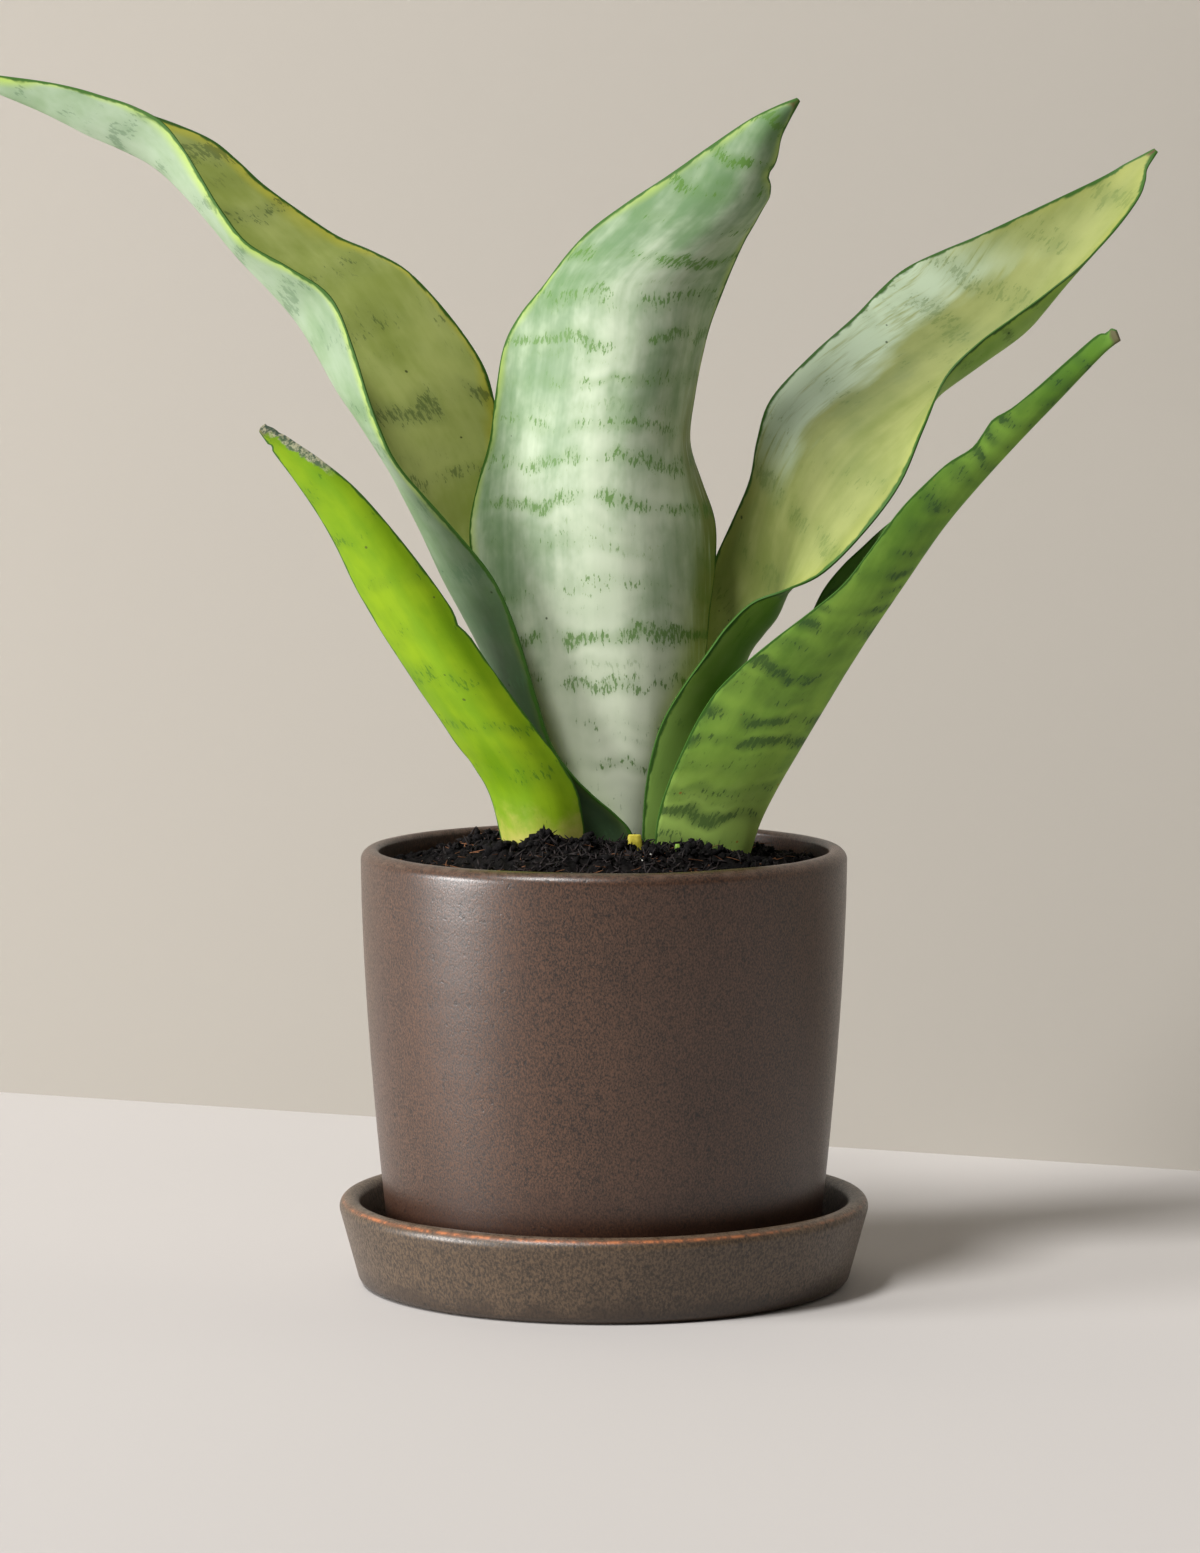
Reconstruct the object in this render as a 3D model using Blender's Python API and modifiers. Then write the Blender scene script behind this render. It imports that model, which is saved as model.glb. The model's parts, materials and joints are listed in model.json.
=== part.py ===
"""Potted snake plant: a turned stoneware pot on its saucer, potting soil, and a rosette of five leaves.

Metres, +Z up. The origin is the centre of the saucer's flat underside. +X is to the right, and
the front, -Y, is the side that the broad centre leaf turns its back to.
"""

import math
from dataclasses import dataclass

import bmesh
import bpy
from mathutils import Vector

MM = 0.001
GAP = 0.3 * MM  # between pieces that touch
ROUND_STEPS = 48  # facets round the pot, the saucer and the soil

# Saucer
SAUCER_RADIUS = 82.0 * MM  # widest, just under the rim
SAUCER_BASE_RADIUS = 76.5 * MM  # where the flared wall meets the rounded lower edge
SAUCER_HEIGHT = 27.2 * MM
SAUCER_WALL = 6.6 * MM
SAUCER_FLOOR = 7.0 * MM
SAUCER_LOWER_EDGE = 4.0 * MM  # radius of the rounded edge under the wall
SAUCER_INNER_FILLET = 3.0 * MM

# Pot, standing on the saucer's floor
POT_RADIUS = 75.0 * MM  # at the rim
POT_LOW_RADIUS = 66.6 * MM  # where the wall turns in to the foot
POT_HEIGHT = 127.9 * MM
POT_WALL = 5.6 * MM
POT_FLOOR = 8.0 * MM
POT_FOOT_EDGE = 5.0 * MM  # radius of the rounded edge over the foot
POT_SIDE_BULGE = 1.6  # power of the side's inward curve: 1 is a straight cone
RIM_OUTER_ROUND = 3.6 * MM
RIM_INNER_ROUND = 1.7 * MM
FOOT_RING_WIDTH = 9.0 * MM
FOOT_RECESS = 1.5 * MM
DRAIN_RADIUS = 7.0 * MM

# Soil: lower at the rim, heaped round the leaves
SOIL_BELOW_RIM = 5.5 * MM
SOIL_HEAP = 7.5 * MM
HEAP_FLAT_RADIUS = 30.0 * MM
HEAP_FOOT_RADIUS = 62.0 * MM

# Crown: where the leaves rise, with the rhizome and the roots under it
CROWN_CENTRE = (6.0 * MM, 0.5 * MM)
CROWN_WELL = (26.5 * MM, 17.5 * MM)  # half sizes of the oval well that the three inner leaves stand in
LEAF_BURIED = 14.0 * MM  # how far the three inner leaves go under the top of the heap
OUTER_LEAF_BURIED = 12.0 * MM  # and the two short outer leaves
CROWN_CLEARANCE = 1.5 * MM  # between the inner leaves' ends and the floor of their well
RHIZOME_HALF = (33.0 * MM, 16.0 * MM, 9.0 * MM)
SLOT_CLEARANCE = 0.5 * MM  # round a leaf or bract that stands in the soil by itself
ROOT_RADIUS = 1.7 * MM
ROOT_TIP_SHARE = 0.5  # of the root's radius
ROOT_REACH = 44.0 * MM
ROOT_DROP = 52.0 * MM
ROOT_COUNT = 6

# Leaves
LEAF_THICK = 2.6 * MM  # along the midrib, near the base
LEAF_EDGE_SHARE = 0.32  # of that at the edges
LEAF_TIP_SHARE = 0.45  # of that at the tip
ROWS_PER_SPAN = 2  # rows of faces between two stations
COLUMNS = 8  # faces across a leaf
PLANT_SCALE = 1.0  # stretches the leaves, the bracts and the crown from the top of the heap
DEEP = -LEAF_BURIED / MM  # height of the lowest station, in the leaves' own millimetres
SHALLOW = -OUTER_LEAF_BURIED / MM


def srgb(red, green, blue):
    """A colour of 0-255 screen values as a linear RGBA tuple."""
    parts = [value / 255 for value in (red, green, blue)]
    return (*[p / 12.92 if p <= 0.04045 else ((p + 0.055) / 1.055) ** 2.4 for p in parts], 1.0)


@dataclass(frozen=True)
class Finish:
    """Colour, roughness and metallic value of one sub-part."""

    colour: tuple
    roughness: float
    metallic: float = 0.0


STONEWARE = Finish(srgb(92, 78, 68), 0.45)
SAUCER_STONEWARE = Finish(srgb(90, 81, 69), 0.42)
PEAT = Finish(srgb(32, 26, 24), 0.95)
RHIZOME_SKIN = Finish(srgb(205, 160, 96), 0.6)
ROOT_SKIN = Finish(srgb(214, 190, 150), 0.7)
SILVER_GREEN = Finish(srgb(176, 202, 166), 0.4)
OLIVE_GREEN = Finish(srgb(164, 182, 110), 0.4)
LIME_GREEN = Finish(srgb(134, 176, 44), 0.42)
DEEP_GREEN = Finish(srgb(84, 134, 54), 0.42)
BRACT_YELLOW = Finish(srgb(206, 190, 60), 0.5)
BRACT_GREEN = Finish(srgb(118, 150, 50), 0.5)


@dataclass(frozen=True)
class Blade:
    """A leaf as a loft over stations from base to tip.

    Each station is (near edge, midrib, far edge), each a point (x, y, z) in millimetres from the
    top of the soil heap. A section is the parabola through its three points.
    """

    name: str
    finish: Finish
    thick: float
    stations: tuple


LEFT_TALL = Blade(
    "leaf_left_tall",
    OLIVE_GREEN,
    LEAF_THICK,
    (
        ((9, -10.5, DEEP), (-15, 1, DEEP), (3, 13, DEEP)),
        ((8.5, -12, 3.5), (-17, 1, 3.5), (0, 14, 4)),
        ((-2.5, -13, 14.5), (-23, 1, 20), (-6, 16, 22)),
        ((-16, -15, 31), (-30, 2, 37.5), (-18, 20, 42)),
        ((-24.5, -15, 58.5), (-37, 5, 58.5), (-27, 25, 72)),
        ((-35, -13, 83.5), (-50, 8, 84), (-30, 29, 100)),
        ((-62, -12, 115.5), (-63.5, 10, 118.5), (-33, 31, 124)),
        ((-72, -10, 137.5), (-78, 10, 140), (-38, 29, 146.5)),
        ((-83.5, -5, 167.5), (-92.5, 13, 160), (-60.5, 28, 174.5)),
        ((-109, 1, 183.5), (-108, 17, 178), (-82.5, 29, 185.5)),
        ((-122.5, 5, 202.5), (-127, 18, 197.5), (-105.5, 28, 201.5)),
        ((-135.5, 10, 220.5), (-140.5, 20, 208.5), (-121, 28, 215)),
        ((-154, 15, 228.5), (-159, 21, 217), (-144, 28, 224)),
        ((-172.5, 19, 233), (-174, 22, 224.5), (-169.5, 27, 231)),
        ((-200.5, 24, 236.5), (-201, 24, 235.5), (-200.5, 24.5, 236)),
    ),
)

LEFT_SHORT = Blade(
    "leaf_left_short",
    LIME_GREEN,
    LEAF_THICK,
    (
        ((-4.5, -15, SHALLOW), (-19, -16, SHALLOW), (-28, -6, SHALLOW)),
        ((-8, -18, 16), (-22.5, -19, 14.5), (-35.5, -8, 16.5)),
        ((-19, -21, 34), (-32, -22, 31.5), (-45, -10, 31)),
        ((-34.5, -23, 55.5), (-48, -24, 55), (-61, -12, 55)),
        ((-52.5, -25, 82.5), (-63, -25, 79), (-74.5, -15, 77.5)),
        ((-74.5, -27, 109.5), (-79.5, -26, 104.5), (-86.5, -19, 101.5)),
        ((-92.5, -27, 123.5), (-95, -26, 121.5), (-99, -23, 119.5)),
        ((-102, -27, 129.5), (-103.5, -27, 128.5), (-104, -26, 127)),
    ),
)

CENTRE = Blade(
    "leaf_centre",
    SILVER_GREEN,
    LEAF_THICK,
    (
        ((-6, 3, DEEP), (6, -5, DEEP), (16, 3, DEEP)),
        ((-12, 3, 16), (7, -8, 16), (22, 3, 16)),
        ((-26, 5, 43.5), (7, -12, 44), (29, 6, 43)),
        ((-38, 7, 73.5), (6, -16, 75), (33, 9, 73.5)),
        ((-41, 8, 98), (5, -18, 100), (34, 11, 98)),
        ((-35, 7, 123), (6, -18, 124), (26.5, 13, 123)),
        ((-30.5, 4, 152), (10, -17, 153), (30.5, 10, 151)),
        ((-19.5, -1, 169.5), (12, -15, 171), (36, 3, 168)),
        ((-3.5, -4, 188), (24, -13, 183), (43, 0, 184.5)),
        ((18, -7, 203), (37, -12, 195.5), (50, -3, 197)),
        ((43.5, -8, 220.5), (49, -10, 217), (53, -6, 213.5)),
        ((58.5, -7, 227.5), (59, -7, 227), (59.5, -7, 226.5)),
    ),
)

RIGHT_TALL = Blade(
    "leaf_right_tall",
    OLIVE_GREEN,
    LEAF_THICK,
    (
        ((11.5, -11, DEEP), (27, 0, DEEP), (13, 12, DEEP)),
        ((12.5, -12.5, 15.5), (30, 0, 12), (17, 15, 16)),
        ((18, -14, 38), (35, 2, 33), (25, 18, 43)),
        ((32, -13, 59.5), (44.5, 7, 58.5), (31, 25, 71)),
        ((45.5, -12, 74.5), (52.5, 7, 71), (35, 27, 86)),
        ((67, -11, 83.5), (58, 9, 95), (45.5, 27, 110)),
        ((90.5, -6, 110.5), (72.5, 13, 120), (52, 30, 135)),
        ((104.5, 2, 142.5), (97.5, 20, 138), (78, 34, 160.5)),
        ((126, 8, 161), (125, 22, 157), (94, 34, 175.5)),
        ((146.5, 14, 176), (139.5, 25, 176), (117, 32, 186)),
        ((165, 22, 197), (156, 28, 195), (152, 31, 202.5)),
        ((168, 26, 206), (165.5, 28, 206), (161, 30, 207.5)),
        ((171.5, 27.5, 211.5), (171, 28, 212), (170.5, 28.5, 212.5)),
    ),
)

RIGHT_SHORT = Blade(
    "leaf_right_short",
    DEEP_GREEN,
    LEAF_THICK,
    (
        ((15, -17, SHALLOW), (40, -9, SHALLOW), (34, 4, SHALLOW)),
        ((16.5, -18, 9), (46, -8, 7), (38, 6, 10)),
        ((23.5, -21, 29), (57, -9, 27.5), (48, 7, 34)),
        ((34.5, -23, 48.5), (67, -11, 44.5), (58, 5, 54)),
        ((51.5, -25, 64), (77.5, -13, 60.5), (67, 3, 77)),
        ((72.5, -26, 81), (90.5, -16, 80.5), (78, -2, 92)),
        ((90, -27, 104), (103.5, -19, 99.5), (88.5, -7, 106)),
        ((109.5, -28, 123), (120, -23, 119), (108.5, -13, 124.5)),
        ((129.5, -28, 139.5), (136, -25, 136), (129, -21, 139)),
        ((148.5, -30, 156.5), (150, -29, 151), (149, -27, 157)),
        ((153.5, -31.5, 158), (155, -31, 155), (154, -30, 158)),
    ),
)

BLADES = (LEFT_TALL, LEFT_SHORT, CENTRE, RIGHT_TALL, RIGHT_SHORT)
SLOTTED = (LEFT_SHORT, RIGHT_SHORT)


@dataclass(frozen=True)
class Bract:
    """A short flattened shoot, tapering from its buried base to its tip, in millimetres from the heap's top."""

    name: str
    finish: Finish
    base: tuple
    tip: tuple
    base_radius: float
    tip_radius: float
    flatness: float  # thickness as a share of width


BRACTS = (
    Bract("bract_front", BRACT_YELLOW, (9, -20.5, -9), (9.5, -20, 4), 3.6, 2.5, 0.5),
    Bract("bract_right", BRACT_GREEN, (22.5, -29, -10), (23, -27, 2), 3.4, 0.9, 0.6),
)

pot_base_z = SAUCER_FLOOR + GAP
rim_z = pot_base_z + POT_HEIGHT
soil_base_z = pot_base_z + POT_FLOOR + GAP
soil_edge_z = rim_z - SOIL_BELOW_RIM
heap_z = soil_edge_z + SOIL_HEAP
crown_centre = tuple(PLANT_SCALE * part for part in CROWN_CENTRE)
crown_floor_z = heap_z - PLANT_SCALE * LEAF_BURIED - CROWN_CLEARANCE
rhizome_half = tuple(PLANT_SCALE * half for half in RHIZOME_HALF)
rhizome_z = crown_floor_z - rhizome_half[2] + GAP


def clear_scene():
    for obj in list(bpy.data.objects):
        bpy.data.objects.remove(obj, do_unlink=True)


def new_collection(name):
    collection = bpy.data.collections.new(name)
    bpy.context.scene.collection.children.link(collection)
    return collection


def material(name, finish):
    made = bpy.data.materials.new(name)
    made.use_nodes = True
    shader = made.node_tree.nodes["Principled BSDF"]
    shader.inputs["Base Color"].default_value = finish.colour
    shader.inputs["Roughness"].default_value = finish.roughness
    shader.inputs["Metallic"].default_value = finish.metallic
    made.diffuse_color = finish.colour
    return made


def link(mesh, name, collection, finish=None):
    """An object of the mesh, in the collection, with a material if it is a part."""
    obj = bpy.data.objects.new(name, mesh)
    collection.objects.link(obj)
    if finish:
        mesh.materials.append(material(name, finish))
    return obj


def smooth(obj, degrees=40):
    obj.data.shade_smooth()
    obj.data.set_sharp_from_angle(angle=math.radians(degrees))


def arc(centre, radius, start, end, steps):
    """Points (r, z) along an arc, angles in degrees from +r towards +z."""
    turn = [math.radians(start + (end - start) * i / steps) for i in range(steps + 1)]
    return [(centre[0] + radius * math.cos(a), centre[1] + radius * math.sin(a)) for a in turn]


def turned(profile, name, collection, finish, ring=False):
    """A body turned about Z from (r, z) points that run down its outer side.

    The points go from axis to axis or, with ring, all the way round a section that is off the axis.
    """
    shape = bmesh.new()
    points = [shape.verts.new((r, 0, z)) for r, z in profile]
    following = points[1:] + points[:1] if ring else points[1:]
    for first, second in zip(points, following):
        shape.edges.new((first, second))
    mesh = bpy.data.meshes.new(name)
    shape.to_mesh(mesh)
    shape.free()
    obj = link(mesh, name, collection, finish)
    screw = obj.modifiers.new("Turn", "SCREW")
    screw.steps = ROUND_STEPS
    screw.render_steps = ROUND_STEPS
    screw.use_merge_vertices = True
    screw.merge_threshold = 0.01 * MM
    screw.use_smooth_shade = True
    return obj


def saucer_profile():
    edge = SAUCER_LOWER_EDGE
    half_wall = SAUCER_WALL / 2
    crest = (SAUCER_RADIUS - half_wall, SAUCER_HEIGHT - half_wall)
    inner_floor = SAUCER_BASE_RADIUS - SAUCER_WALL + 1.5 * MM
    fillet = SAUCER_INNER_FILLET
    return (
        [(0, SAUCER_FLOOR)]
        + arc((inner_floor - fillet, SAUCER_FLOOR + fillet), fillet, -90, -10, 3)
        + arc(crest, half_wall, 170, -10, 8)
        + arc((SAUCER_BASE_RADIUS - edge, edge), edge, -10, -90, 4)
        + [(0, 0)]
    )


def pot_side(z):
    """The pot's outer radius at a height, below its rounded rim and above its foot."""
    low = pot_base_z + POT_FOOT_EDGE
    share = (rim_z - RIM_OUTER_ROUND - z) / (rim_z - RIM_OUTER_ROUND - low)
    return POT_RADIUS - (POT_RADIUS - POT_LOW_RADIUS) * max(0.0, share) ** POT_SIDE_BULGE


def pot_heights(steps):
    """Heights down the pot's side, from under its rim to over its foot."""
    top = rim_z - RIM_OUTER_ROUND
    low = pot_base_z + POT_FOOT_EDGE
    return [top + (low - top) * i / steps for i in range(1, steps)]


def pot_profile():
    top = rim_z - RIM_OUTER_ROUND
    foot = POT_FOOT_EDGE
    foot_radius = POT_LOW_RADIUS - foot
    ring_inner = foot_radius - FOOT_RING_WIDTH
    inner_floor_z = pot_base_z + POT_FLOOR
    inner_rim = POT_RADIUS - POT_WALL + RIM_INNER_ROUND
    outer = [(pot_side(z), z) for z in pot_heights(8)]
    inner = [(pot_side(z) - POT_WALL, z) for z in reversed(pot_heights(8)) if z > inner_floor_z + foot]
    fillet = (POT_LOW_RADIUS - POT_WALL - foot, inner_floor_z + foot)
    return (
        arc((POT_RADIUS - RIM_OUTER_ROUND, top), RIM_OUTER_ROUND, 90, 0, 4)
        + outer
        + arc((foot_radius, pot_base_z + foot), foot, 0, -90, 4)
        + [(ring_inner, pot_base_z), (ring_inner - FOOT_RECESS, pot_base_z + FOOT_RECESS)]
        + [(DRAIN_RADIUS, pot_base_z + FOOT_RECESS), (DRAIN_RADIUS, inner_floor_z)]
        + arc(fillet, foot, -90, 0, 3)
        + inner
        + arc((inner_rim, rim_z - RIM_INNER_ROUND), RIM_INNER_ROUND, 180, 110, 2)
    )


def soil_top(radius):
    """Height of the heaped soil at a distance from the pot's axis."""
    share = (radius - HEAP_FLAT_RADIUS) / (HEAP_FOOT_RADIUS - HEAP_FLAT_RADIUS)
    share = min(1.0, max(0.0, share))
    return soil_edge_z + SOIL_HEAP * (0.5 + 0.5 * math.cos(math.pi * share))


def soil_profile():
    foot = POT_FOOT_EDGE
    inner_floor_z = pot_base_z + POT_FLOOR
    sides = [z for z in pot_heights(8) if inner_floor_z + foot < z < soil_edge_z - 2 * MM]
    edge_radius = pot_side(soil_edge_z) - POT_WALL - GAP
    radii = [edge_radius * i / 9 for i in range(9)]
    fillet = (POT_LOW_RADIUS - POT_WALL - foot, inner_floor_z + foot)
    return (
        [(r, soil_top(r)) for r in radii]
        + [(edge_radius, soil_edge_z)]
        + [(pot_side(z) - POT_WALL - GAP, z) for z in sides]
        + arc(fillet, foot - GAP, 0, -90, 3)
        + [(0, soil_base_z)]
    )


def between(points, share):
    """Catmull-Rom through the four points, from the second at 0 to the third at 1."""
    before, first, second, after = points
    t, t2, t3 = share, share * share, share**3
    weights = (
        0.5 * (-t3 + 2 * t2 - t),
        0.5 * (3 * t3 - 5 * t2 + 2),
        0.5 * (-3 * t3 + 4 * t2 + t),
        0.5 * (t3 - t2),
    )
    parts = zip(before, first, second, after)
    return tuple(sum(w * p for w, p in zip(weights, axis)) for axis in parts)


def rail(stations, side):
    """A smooth line through one side's points, ROWS_PER_SPAN rows to each span."""
    points = [station[side] for station in stations]
    first = tuple(2 * a - b for a, b in zip(points[0], points[1]))
    last = tuple(2 * a - b for a, b in zip(points[-1], points[-2]))
    framed = [first, *points, last]
    rows = []
    for span in range(len(points) - 1):
        rows += [between(framed[span : span + 4], i / ROWS_PER_SPAN) for i in range(ROWS_PER_SPAN)]
    return [*rows, points[-1]]


def across(near, middle, far, s):
    """The point at s on the parabola from the near edge at -1, through the midrib, to the far edge at 1."""
    weights = (s * (s - 1) / 2, 1 - s * s, s * (s + 1) / 2)
    return tuple(sum(w * p for w, p in zip(weights, axis)) for axis in zip(near, middle, far))


def rails_of(stations):
    """The near edge, the midrib and the far edge of a blade, each as one point a row."""
    return [rail(stations, side) for side in range(3)]


def blade_surface(name, rails, reach=1.0):
    """The open middle surface over the rails as a grid, its thickness shares in the first vertex group."""
    rows = len(rails[0])
    shape = bmesh.new()
    bmesh.ops.create_grid(shape, x_segments=COLUMNS, y_segments=rows - 1, size=1)
    group = shape.verts.layers.deform.verify()
    for vert in shape.verts:
        s = vert.co.x
        row = round((vert.co.y + 1) / 2 * (rows - 1))
        along = row / (rows - 1)
        point = across(*[line[row] for line in rails], s * reach)
        vert.co = [value * MM * PLANT_SCALE for value in point]
        thick = LEAF_EDGE_SHARE + (1 - LEAF_EDGE_SHARE) * (1 - s * s)
        vert[group][0] = thick * (1 - (1 - LEAF_TIP_SHARE) * along)
    mesh = bpy.data.meshes.new(name)
    shape.to_mesh(mesh)
    shape.free()
    return mesh


def blade(shape, collection):
    """A leaf: its middle surface made solid, thick along the midrib and thin at the edges."""
    obj = link(blade_surface(shape.name, rails_of(shape.stations)), shape.name, collection, shape.finish)
    obj.location = (0, 0, heap_z)
    thicken(obj, shape.thick, 0.0)
    smooth(obj)
    return obj


def thicken(obj, thick, least):
    obj.vertex_groups.new(name="Thickness")
    solid = obj.modifiers.new("Thickness", "SOLIDIFY")
    solid.thickness = thick
    solid.offset = 0.0
    solid.vertex_group = "Thickness"
    solid.thickness_vertex_group = least
    solid.use_even_offset = False


def slot_cutter(shape, collection):
    """The buried rows of a blade, wider, deeper and thicker by the clearance, to cut its slot in the soil."""
    rails = [line[: 2 * ROWS_PER_SPAN + 1] for line in rails_of(shape.stations)]
    below = SLOT_CLEARANCE / (MM * PLANT_SCALE)
    for line in rails:
        x, y, z = line[0]
        line[0] = (x, y, z - 2 * below)
    width = math.dist(shape.stations[0][0], shape.stations[0][2])
    name = "cut_" + shape.name
    obj = link(blade_surface(name, rails, 1 + 4 * below / width), name, collection)
    obj.location = (0, 0, heap_z)
    thicken(obj, shape.thick + 2 * SLOT_CLEARANCE, 1.0)
    return as_cutter(obj)


def bract(shape, name, collection, extra=0.0, finish=None):
    """A bract from base to tip, or its cutter, larger by extra all round."""
    base, tip = (Vector(point) * MM * PLANT_SCALE for point in (shape.base, shape.tip))
    along = (tip - base).normalized()
    depth = (tip - base).length + 2 * extra
    cone = bmesh.new()
    bmesh.ops.create_cone(
        cone,
        cap_ends=True,
        segments=16,
        radius1=shape.base_radius * MM + extra / shape.flatness,
        radius2=shape.tip_radius * MM + extra / shape.flatness,
        depth=depth,
    )
    bmesh.ops.scale(cone, vec=(1, shape.flatness, 1), verts=cone.verts)
    mesh = bpy.data.meshes.new(name)
    cone.to_mesh(mesh)
    cone.free()
    obj = link(mesh, name, collection, finish)
    obj.location = (base + tip) / 2 + Vector((0, 0, heap_z))
    obj.rotation_mode = "QUATERNION"
    obj.rotation_quaternion = Vector((0, 0, 1)).rotation_difference(along)
    return obj


def as_cutter(obj):
    obj.hide_render = True
    obj.display_type = "WIRE"
    return obj


def oval(name, centre, half, collection, finish=None):
    """An ellipsoid, its half sizes along X, Y and Z in the mesh."""
    shape = bmesh.new()
    bmesh.ops.create_uvsphere(shape, u_segments=24, v_segments=12, radius=1)
    bmesh.ops.scale(shape, vec=half, verts=shape.verts)
    mesh = bpy.data.meshes.new(name)
    shape.to_mesh(mesh)
    shape.free()
    obj = link(mesh, name, collection, finish)
    obj.location = centre
    return obj


def well_cutter(collection):
    """The oval well round the three nested leaves, from above the heap down to the rhizome."""
    height = heap_z - crown_floor_z + 20 * MM
    half = [PLANT_SCALE * part for part in CROWN_WELL]
    shape = bmesh.new()
    bmesh.ops.create_cone(shape, cap_ends=True, segments=36, radius1=1, radius2=1, depth=height)
    bmesh.ops.scale(shape, vec=(*half, 1), verts=shape.verts)
    mesh = bpy.data.meshes.new("cut_well")
    shape.to_mesh(mesh)
    shape.free()
    obj = link(mesh, "cut_well", collection)
    obj.location = (*crown_centre, crown_floor_z - GAP + height / 2)
    return as_cutter(obj)


def root_route(index):
    """Points of one root, from beside the rhizome outwards and down, wavering a little."""
    turn = 2 * math.pi * (index + 0.35) / ROOT_COUNT
    steps = 9
    route = []
    for i in range(steps + 1):
        t = i / steps
        waver = 0.16 * math.sin(2.2 * math.pi * t + index)
        out_x = (rhizome_half[0] * 0.72 + ROOT_REACH * 0.52 * t) * math.cos(turn + waver)
        out_y = (rhizome_half[1] * 0.72 + ROOT_REACH * 0.85 * t) * math.sin(turn + waver)
        down = rhizome_z - rhizome_half[2] * 0.95 - 2.5 * MM - ROOT_DROP * t**1.3
        route.append((crown_centre[0] * (1 - t) + out_x, crown_centre[1] + out_y, down))
    return route


def tube(name, route, radius, collection, finish=None):
    """A tapering tube along the route, as a mesh with its end caps welded."""
    curve = bpy.data.curves.new(name, "CURVE")
    curve.dimensions = "3D"
    curve.bevel_depth = radius
    curve.bevel_resolution = 1
    curve.use_fill_caps = True
    line = curve.splines.new("POLY")
    line.points.add(len(route) - 1)
    for i, (point, at) in enumerate(zip(line.points, route)):
        point.co = (*at, 1)
        point.radius = 1 - (1 - ROOT_TIP_SHARE) * i / (len(route) - 1)
    guide = bpy.data.objects.new(name + "_guide", curve)
    collection.objects.link(guide)
    bpy.context.view_layer.update()
    mesh = bpy.data.meshes.new_from_object(guide.evaluated_get(bpy.context.evaluated_depsgraph_get()))
    mesh.name = name
    bpy.data.objects.remove(guide, do_unlink=True)
    welded = bmesh.new()
    welded.from_mesh(mesh)
    bmesh.ops.remove_doubles(welded, verts=welded.verts, dist=0.001 * MM)
    bmesh.ops.recalc_face_normals(welded, faces=welded.faces)
    welded.to_mesh(mesh)
    welded.free()
    mesh.materials.clear()
    return link(mesh, name, collection, finish)


def cut(obj, cutters):
    for cutter in cutters:
        taken = obj.modifiers.new("Cut " + cutter.name, "BOOLEAN")
        taken.operation = "DIFFERENCE"
        taken.solver = "EXACT"
        taken.object = cutter


def root_cutter(index, route, collection):
    """A root's tunnel, begun inside the rhizome's hollow and ended just past the root's tip."""
    start = tuple(2 * a - b for a, b in zip(route[0], route[1]))
    up = (start[0], start[1], route[0][2] + rhizome_half[2])
    last = [b + (b - a) * 0.12 for a, b in zip(route[-2], route[-1])]
    made = tube(f"cut_root_{index + 1}", [up, *route, last], ROOT_RADIUS + GAP, collection)
    return as_cutter(made)


def main():
    clear_scene()
    parts = new_collection("potted_snake_plant")
    cutters = new_collection("cutters")

    smooth(turned(saucer_profile(), "saucer", parts, SAUCER_STONEWARE))
    smooth(turned(pot_profile(), "pot", parts, STONEWARE, ring=True))
    soil = turned(soil_profile(), "soil", parts, PEAT)

    centre = (*crown_centre, rhizome_z)
    rhizome = oval("rhizome", centre, rhizome_half, parts, RHIZOME_SKIN)
    smooth(rhizome)
    hollow = oval("cut_rhizome", centre, [half + GAP for half in rhizome_half], cutters)
    tunnels = [as_cutter(hollow), well_cutter(cutters)]
    for index in range(ROOT_COUNT):
        route = root_route(index)
        smooth(tube(f"root_{index + 1}", route, ROOT_RADIUS, parts, ROOT_SKIN))
        tunnels.append(root_cutter(index, route, cutters))
    for shape in BLADES:
        blade(shape, parts)
    tunnels += [slot_cutter(shape, cutters) for shape in SLOTTED]
    for shape in BRACTS:
        smooth(bract(shape, shape.name, parts, finish=shape.finish))
        tunnels.append(as_cutter(bract(shape, "cut_" + shape.name, cutters, SLOT_CLEARANCE)))
    cut(soil, tunnels)


main()
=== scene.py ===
"""Looks of a potted snake plant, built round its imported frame.

Metres, +Z up, in the frame's own coordinates: the origin is the centre of the saucer's underside
and the front is -Y. Every piece takes its place from the frame's nodes. The pot and the saucer are
turned again at a finer step, the leaves are lofted again through the margins and the midrib of
their nodes, and the soil gets its crumbs, fibres and grit.
"""

import json
import logging
import math
from collections.abc import Callable, Sequence
from dataclasses import dataclass
from enum import Enum
from functools import cached_property, reduce
from random import Random

import bmesh
import bpy
from mathutils import Matrix, Vector, noise

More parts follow.
